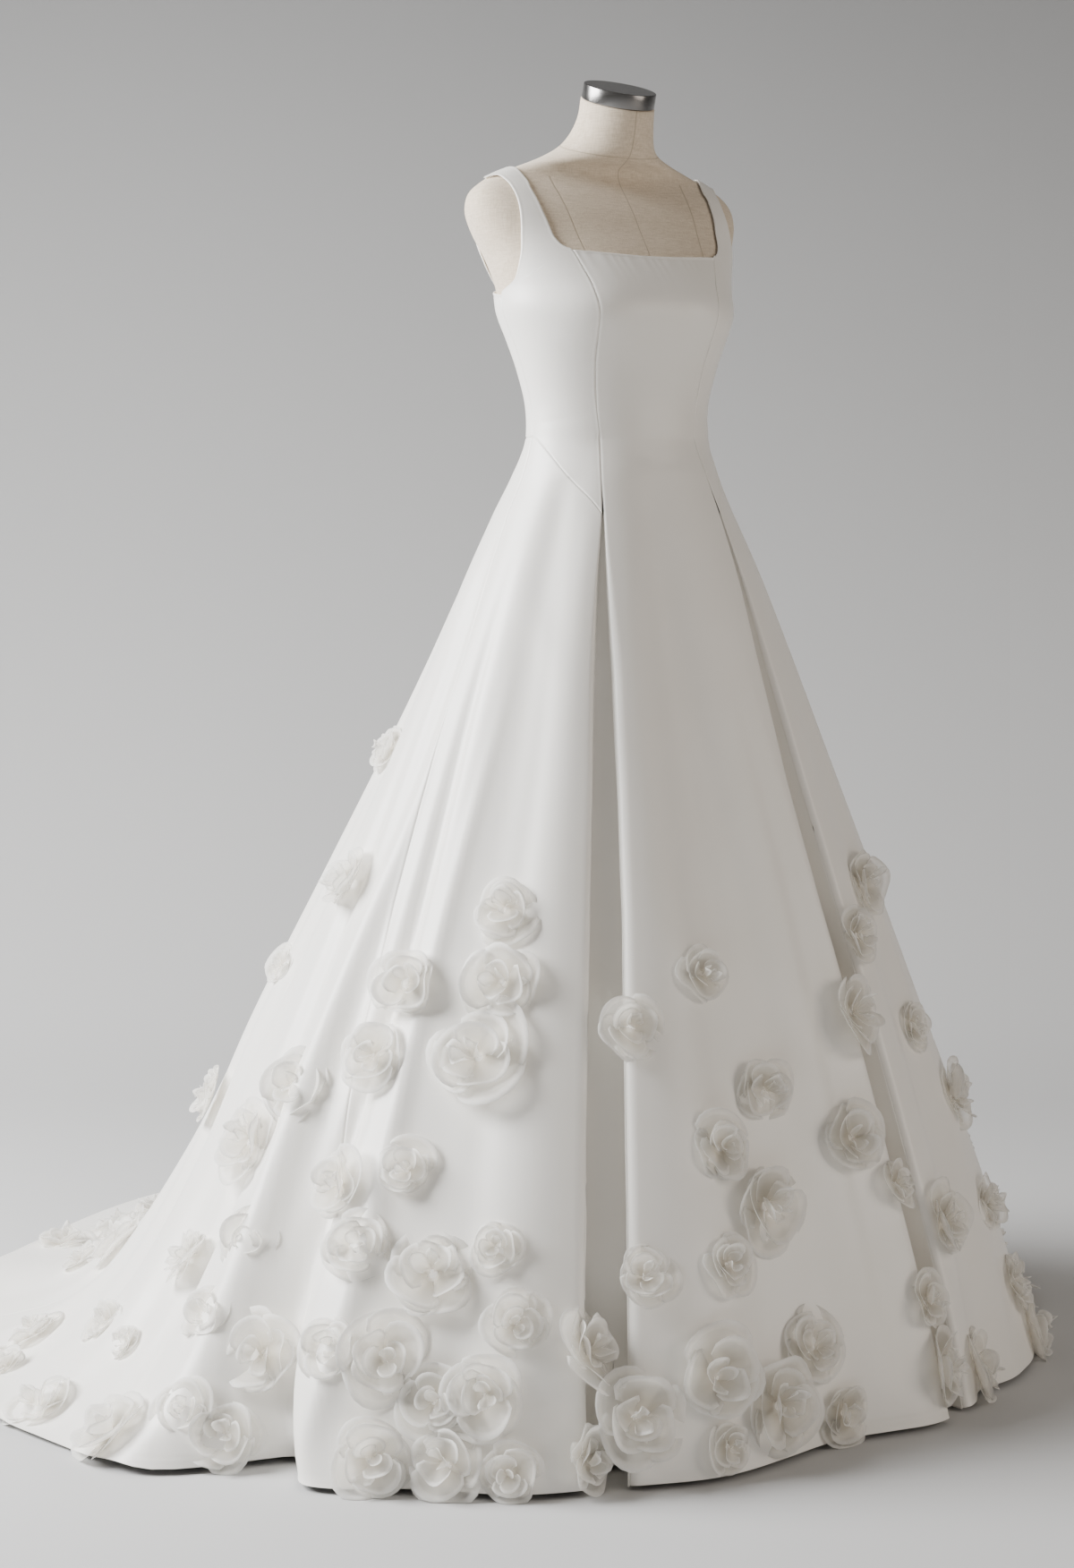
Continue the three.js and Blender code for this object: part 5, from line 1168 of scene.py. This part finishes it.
def point_on(grid, across, down, mirrored):
    """The point of a solid's panel at shares across and down, on the flat of its triangle there."""
    across = min(max(across, 0), 1)
    down = min(max(down, 0), 1)
    rows, columns = grid.shape[0] - 1, grid.shape[1] - 1
    i = min(int(down * rows), rows - 1)
    j = min(int(across * columns), columns - 1)
    v = down * rows - i
    u = across * columns - j
    a, b, c, d = grid[i, j], grid[i + 1, j], grid[i + 1, j + 1], grid[i, j + 1]
    if mirrored:
        return a + (b - a) * v + (d - a) * u if u + v < 1 else c + (b - c) * (1 - u) + (d - c) * (1 - v)
    return b + (a - b) * (1 - v) + (c - b) * u if v > u else d + (a - d) * (1 - u) + (c - d) * v


def flower_places():
    """Every flower's row, the panels they lie on, and a function that gives a row's point."""
    grids = {name: solid_grid(name) for name in
             {row[0] for row in ROSETTES} | {row[0] for row in SCATTER}}

    def spot(place):
        panel, across, down = place[:3]
        return point_on(grids[panel], across, down, panel.endswith("left"))

    def free(place):
        return all(np.linalg.norm(spot(other) - spot(place)) >= (other[3] + place[3]) * FLOWERS_APART
                   for other in places)

    places = list(ROSETTES)
    for row, (panel, count, top, bottom, low, high) in enumerate(SCATTER):
        placed = 0
        for tries in range(TRIES):
            if placed == count:
                break
            seed = row * 211 + tries * 3
            place = (panel, mix(low, high, scattered(seed)), mix(top, bottom, scattered(seed + 1) ** 0.75),
                     mix(30, 52, scattered(seed + 2)), 0)
            if free(place):
                places.append(place)
                placed += 1
    return places, grids, spot


def flower_frame(place, grid, centre):
    """The way across, up and out of the panel at a flower."""
    panel, across, down, _, lean = place
    mirrored = panel.endswith("left")
    step = 0.02
    low_a = min(max(across - step, 0), 1 - 2 * step)
    low_d = min(max(down - step, 0), 1 - 2 * step)
    along = point_on(grid, low_a + 2 * step, down, mirrored) - point_on(grid, low_a, down, mirrored)
    below = point_on(grid, across, low_d + 2 * step, mirrored) - point_on(grid, across, low_d, mirrored)
    out = Vector(np.cross(below, along)).normalized()
    if out.dot(Vector((centre[0], centre[1], 200))) < 0:
        out.negate()
    out.rotate(Matrix.Rotation(lean * RAD, 3, "Z"))
    side = Vector((0, 0, 1)).cross(out)
    side = side.normalized() if side.length > 0.05 else Vector(along).normalized()
    return side, out.cross(side).normalized(), out


def petal(bm, uv_layer, centre, axes, size, shape, start, seed):
    """One organza petal: a grid of cloth, wide at its waved rim and cupped round the heart."""
    inner, outer, base, rim, sweep, cup, wave = shape
    radius, height = size
    side, up, out = axes
    crests = mix(0.8, 1.7, scattered(seed + 1))
    phase = FULL_TURN * scattered(seed + 2)
    outer *= mix(0.80, 1.12, scattered(seed + 3))
    rim *= mix(0.70, 1.25, scattered(seed + 4))
    made = bmesh.ops.create_grid(bm, x_segments=12, y_segments=6, size=0.5)["verts"]
    for face in {face for vert in made for face in vert.link_faces}:
        for loop in face.loops:
            loop[uv_layer].uv = (loop.vert.co.x + 0.5, loop.vert.co.y + 0.5)
    for vert in made:
        s = vert.co.x + 0.5
        t = vert.co.y + 0.5
        way = t * mix(0.55, 1, (4 * s * (1 - s) + 0.004) ** 0.3)
        angle = start + sweep * (s - 0.5) * mix(0.75, 1, t)
        ruffle = wave * t * t
        frill = 1 + 0.6 * ruffle * math.cos(FULL_TURN * crests * s + 1.7 * phase)
        reach = radius * mix(inner, outer, way) * frill
        rise = height * mix(base, rim, way**cup) + radius * ruffle * math.sin(FULL_TURN * crests * s + phase)
        rise += height * 0.14 * t * (s - 0.5)
        vert.co = centre + (side * math.cos(angle) * reach + up * math.sin(angle) * reach + out * rise) * MM


# Rounds of petals, as shares of the radius and the height: where a petal starts and ends, its
# height there, its sweep round the heart in radians, how it cups, and the height of its waves
PETAL_ROUNDS = [
    (0.14, 1.14, 0.02, 0.38, 2.5, 2.0, 0.100),
    (0.12, 0.92, 0.05, 0.74, 2.5, 1.8, 0.120),
    (0.05, 0.62, 0.10, 0.92, 2.6, 1.3, 0.120),
    (0.00, 0.34, 0.16, 1.06, 2.2, 1.0, 0.150),
]


def rosette(bm, uv_layer, centre, axes, radius, seed, petals, tall):
    """A rose of wide organza petals in four rounds, closer and higher towards a folded heart."""
    size = (radius, min(max(radius * tall, 16), 31))
    side, up, out = axes
    aside = side * mix(-TILT, TILT, scattered(seed + 31))
    upward = up * mix(-TILT, TILT, scattered(seed + 37))
    out = (out + aside + upward).normalized()
    side = (side - out * side.dot(out)).normalized()
    up = out.cross(side)
    axes = (side, up, out)
    counts = (max(petals - 7, 3), 3, 2, 2)
    for level, (count, shape) in enumerate(zip(counts, PETAL_ROUNDS)):
        turn = FULL_TURN * scattered(seed + level * 5)
        drift = 0.14 * radius * level / 3
        middle = centre + (side * math.cos(seed) + up * math.sin(seed)) * drift * MM
        for k in range(count):
            own = seed + level * 17 + k * 3
            start = turn + FULL_TURN * (k + 0.4 * scattered(own)) / count
            petal(bm, uv_layer, middle, axes, size, shape, start, own)


class GOWN_OT_rosettes(bpy.types.Operator):
    """Sews the organza rosettes on the skirt: one piece for each cluster, and one for the single
    flowers of each panel"""
    bl_idname = "gown.rosettes"
    bl_label = "Organza rosettes"

    def execute(self, context):
        sizes = context.scene.gown_sizes
        organza = shared_material("silk_organza", silk_organza, context.scene.gown_colours)
        places, grids, spot = flower_places()
        boxes = {node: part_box(node) for node in ROSETTE_NODES}
        groups = {}
        for index, place in enumerate(places):
            centre = spot(place)
            axes = flower_frame(place, grids[place[0]], centre)
            middle = (Vector(centre) + axes[2] * 10) * MM
            owner = self.node_at(boxes, middle) or place[0]
            groups.setdefault(owner, []).append((index, place, Vector(centre) * MM, axes))
        for owner, flowers in groups.items():
            bm = bmesh.new()
            uv_layer = bm.loops.layers.uv.verify()
            for index, place, centre, axes in flowers:
                lifted = centre + axes[2] * SEWN_LIFT * MM
                rosette(bm, uv_layer, lifted, axes, place[3], index * 7.3, sizes.petals, sizes.flower_height)
            for vert in bm.verts:
                vert.co.z = max(vert.co.z, FLOOR_CLEAR * MM)
            on_node = owner in boxes
            name = owner.replace("rosettes_", "organza_rosettes_") if on_node else f"organza_{owner}"
            piece = object_of(name, bm, organza)
            solidify(piece, sizes.organza, 0)
            finish_piece(piece, "organza", *([owner] if on_node else []))
        missing = [node for node in ROSETTE_NODES if node not in groups]
        if missing:
            raise RuntimeError(f"no flower at {missing}")
        return {"FINISHED"}

    def node_at(self, boxes, place):
        """The cluster's node whose box holds a place, or None: the one with the nearest middle."""
        best, owner = WORST_SCORE, None
        for node, (low, high) in boxes.items():
            outside = sum(max(low[k] - place[k], 0, place[k] - high[k]) ** 2 for k in range(3)) ** 0.5
            middle = (Vector(low) + Vector(high)) / 2
            score = outside * OUTSIDE_WEIGHT + (middle - place).length * MIDDLE_WEIGHT
            if outside < BOX_REACH and score < best:
                best, owner = score, node
        return owner


class GOWN_OT_form(bpy.types.Operator):
    """Pads the linen form and finishes its steel cap, its stand and the zip's metal"""
    bl_idname = "gown.form"
    bl_label = "Dress form"

    def execute(self, context):
        colours = context.scene.gown_colours
        self.torso(shared_material("natural_linen", natural_linen, colours))
        self.cap(shared_material("brushed_steel", brushed_steel, colours))
        paint = shared_material("powder_coat", powder_coat)
        zinc = shared_material("lacquered_zinc", lacquered_zinc)
        for node, material in (("stand_pole", paint), ("stand_base", paint), ("zip_slider", zinc),
                               ("zip_pull_tab", zinc)):
            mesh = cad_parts[node].data
            mesh.materials.clear()
            mesh.materials.append(material)
        return {"FINISHED"}

    def torso(self, linen):
        heights = np.concatenate([np.linspace(1000, 1600, 90), np.linspace(1605, 1752, 62)])
        sides = np.linspace(-180, 180, 145)
        azimuth, z = np.meshgrid(sides, heights)
        points = form_point(azimuth, z)
        bm = bmesh.new()
        layers = [bm.verts.layers.float.new(name) for name in FORM_SEAMS]
        made = grid_mesh(bm, points, np.stack([azimuth / 180, z * MM], axis=-1), flip=False)
        front = azimuth_at_x(np.interp(z, *FORM_PRINCESS), z)
        centre = np.where(np.abs(azimuth) < 90, points[..., 0], 99)
        princess = np.where(z < FORM_SEAM_TOP, (np.abs(azimuth) - front) * 2.2, 99)
        neck = (z - FORM_NECK_SEAM) * 1.1
        values = np.stack([centre, princess, neck], axis=-1).reshape(-1, 3) * MM
        flat = {tuple(np.round(p, 5)): d for p, d in zip(points.reshape(-1, 3) * MM, values)}
        for vert in made:
            place = tuple(np.round(np.array(vert.co), 5))
            for layer, value in zip(layers, flat.get(place, (0.09, 0.09, 0.09))):
                vert[layer] = value
        bmesh.ops.remove_doubles(bm, verts=bm.verts, dist=0.00002)
        open_edges = [edge for edge in bm.edges if edge.is_boundary]
        bmesh.ops.holes_fill(bm, edges=open_edges)
        bmesh.ops.recalc_face_normals(bm, faces=bm.faces)
        piece = object_of("linen_form", bm, linen)
        finish_piece(piece, "linen", "form_torso")

    def cap(self, steel):
        low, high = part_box("neck_cap")
        middle = (Vector(low) + Vector(high)) / 2
        bm = bmesh.new()
        bmesh.ops.create_cone(bm, cap_ends=True, segments=96, radius1=CAP_RADIUS * MM,
                              radius2=CAP_RADIUS * MM, depth=CAP_HEIGHT * MM)
        rims = [edge for edge in bm.edges if len(edge.link_faces) == 2
                and any(len(face.verts) > 4 for face in edge.link_faces)]
        bmesh.ops.bevel(bm, geom=rims, offset=CAP_ROUNDING * MM, affect="EDGES", segments=3, profile=0.5,
                        material=-1)
        bmesh.ops.rotate(bm, verts=bm.verts, cent=(0, 0, 0), matrix=Matrix.Rotation(NECK_TILT * RAD, 3, "X"))
        bmesh.ops.translate(bm, verts=bm.verts, vec=middle)
        piece = object_of("steel_neck_cap", bm, steel)
        for face in piece.data.polygons:
            face.use_smooth = len(face.vertices) <= 4
        finish_piece(piece, "steel_cap", "neck_cap")


def stage_ways(stage):
    """The camera's heading over the floor, and the way to its right."""
    heading = Vector((math.sin(stage.turn), math.cos(stage.turn), 0))
    return heading, Vector((heading.y, -heading.x, 0))


def aim(holder, place, way):
    """Puts a lamp or the camera at a place, looking one way."""
    turn = way.to_track_quat("-Z", "Y").to_matrix().to_4x4()
    holder.matrix_world = Matrix.Translation(place) @ turn


class GOWN_OT_stage(bpy.types.Operator):
    """Sets a pale floor that curves up into a wall, soft studio light and the camera"""
    bl_idname = "gown.stage"
    bl_label = "Studio stage"

    def execute(self, context):
        stage = context.scene.gown_stage
        self.cove(stage)
        heading, right = stage_ways(stage)
        self.lamp("key_light", -right * 3.3 - heading * 0.3 + Vector((0, 0, 2.7)), 2.4, stage.key)
        self.lamp("fill_light", right * 4.0 - heading * 1.9 + Vector((0, 0, 1.9)), 2.6, stage.fill, "FFF3E6")
        world = bpy.data.worlds.new("studio_air")
        world.use_nodes = True
        background = world.node_tree.nodes["Background"]
        background.inputs["Color"].default_value = srgb("E8E4DE")
        lit = -right * 0.8 + Vector((0, 0, 0.6))
        direction = add_node(world.node_tree, "ShaderNodeTexCoord").outputs["Generated"]
        facing = add_node(world.node_tree, "ShaderNodeVectorMath", [(0, direction), (1, tuple(lit))],
                          operation="DOT_PRODUCT")
        # The air is brighter at the key light's side
        strength = ranged(world.node_tree, facing.outputs["Value"], -0.9, 0.9, stage.air * 0.5,
                          stage.air * 1.4)
        world.node_tree.links.new(strength, background.inputs["Strength"])
        context.scene.world = world
        camera = bpy.data.cameras.new("camera")
        camera.sensor_fit = "HORIZONTAL"
        camera.sensor_width = 36
        camera.lens = stage.lens
        holder = bpy.data.objects.new("camera", camera)
        context.scene.collection.objects.link(holder)
        look = heading * math.cos(stage.dip) - Vector((0, 0, math.sin(stage.dip)))
        aim(holder, stage.eye, look)
        context.scene.camera = holder
        return {"FINISHED"}

    def cove(self, stage):
        material, tree, shader = new_material("studio_paper", Roughness=0.9, Specular_IOR_Level=0.1)
        place = add_node(tree, "ShaderNodeTexCoord").outputs["Object"]
        height = add_node(tree, "ShaderNodeSeparateXYZ", [("Vector", place)]).outputs["Z"]
        # Painted shade: the one grey paper is drawn darker up the wall, from C2C2C2 at 0.1 m to 707070 at 3.2
        # m, for the light falling off
        tone = blended(tree, ranged(tree, height, 0.1, 3.2), srgb("C2C2C2"), srgb("707070"))
        tree.links.new(tone, shader.inputs["Base Color"])
        # The paper can be looked through from behind, so that the gown's back is seen too
        behind = add_node(tree, "ShaderNodeNewGeometry").outputs["Backfacing"]
        seen = add_node(tree, "ShaderNodeLightPath").outputs["Is Camera Ray"]
        both = add_node(tree, "ShaderNodeMath", [(0, behind), (1, seen)], operation="MULTIPLY")
        clear = add_node(tree, "ShaderNodeBsdfTransparent")
        layered(tree, both.outputs[0], shader.outputs[0], clear.outputs[0])
        bm = bmesh.new()
        made = bmesh.ops.create_grid(bm, x_segments=2, y_segments=60, size=0.5)["verts"]
        floor_end, bend, top = 1.9, 1.4, 4.6
        front = -6.5
        heading, right = stage_ways(stage)
        arc = bend * math.pi / 2
        total = floor_end - front + arc + top
        for vert in made:
            way = (vert.co.y + 0.5) * total
            if way < floor_end - front:
                ahead, up = front + way, 0
            elif way < floor_end - front + arc:
                angle = (way - floor_end + front) / bend
                ahead, up = floor_end + bend * math.sin(angle), bend * (1 - math.cos(angle))
            else:
                ahead, up = floor_end + bend, bend + way - floor_end + front - arc
            vert.co = heading * ahead + right * vert.co.x * 16 + Vector((0, 0, up))
        bmesh.ops.recalc_face_normals(bm, faces=bm.faces)
        if min(bm.faces, key=lambda face: face.calc_center_median().z).normal.z < 0:
            bmesh.ops.reverse_faces(bm, faces=bm.faces)
        object_of("studio_cove", bm, material)

    def lamp(self, name, place, size, power, tint="FFFFFF"):
        light = bpy.data.lights.new(name, "AREA")
        light.color = srgb(tint)[:3]
        light.shape = "SQUARE"
        light.size = size
        light.energy = power
        holder = bpy.data.objects.new(name, light)
        bpy.context.scene.collection.objects.link(holder)
        target = Vector((0, 0, 0.8))
        aim(holder, place, target - place)


STEPS = [GOWN_OT_centre_front, GOWN_OT_side_fronts, GOWN_OT_pleats, GOWN_OT_backs, GOWN_OT_rosettes,
         GOWN_OT_form, GOWN_OT_stage]


class GOWN_PT_panel(bpy.types.Panel):
    """Lists the gown's pieces in the order in which they are made"""
    bl_idname = "GOWN_PT_panel"
    bl_label = "Wedding gown"
    bl_space_type = "VIEW_3D"
    bl_region_type = "UI"
    bl_category = "Gown"

    def draw(self, context):
        scene = context.scene
        for group in (scene.gown_sizes, scene.gown_colours, scene.gown_stage):
            for name in group.__annotations__:
                self.layout.prop(group, name)
        for step in STEPS:
            self.layout.operator(step.bl_idname)


CLASSES = [GownSizes, GownColours, StageSizes] + STEPS + [GOWN_PT_panel]


def register():
    for cls in CLASSES:
        bpy.utils.register_class(cls)
    bpy.types.Scene.gown_sizes = bpy.props.PointerProperty(type=GownSizes)
    bpy.types.Scene.gown_colours = bpy.props.PointerProperty(type=GownColours)
    bpy.types.Scene.gown_stage = bpy.props.PointerProperty(type=StageSizes)


def unregister():
    del bpy.types.Scene.gown_stage
    del bpy.types.Scene.gown_colours
    del bpy.types.Scene.gown_sizes
    for cls in reversed(CLASSES):
        bpy.utils.unregister_class(cls)


def main():
    register()
    for step in STEPS:
        group, name = step.bl_idname.split(".")
        getattr(getattr(bpy.ops, group), name)()


if __name__ == "__main__":
    main()
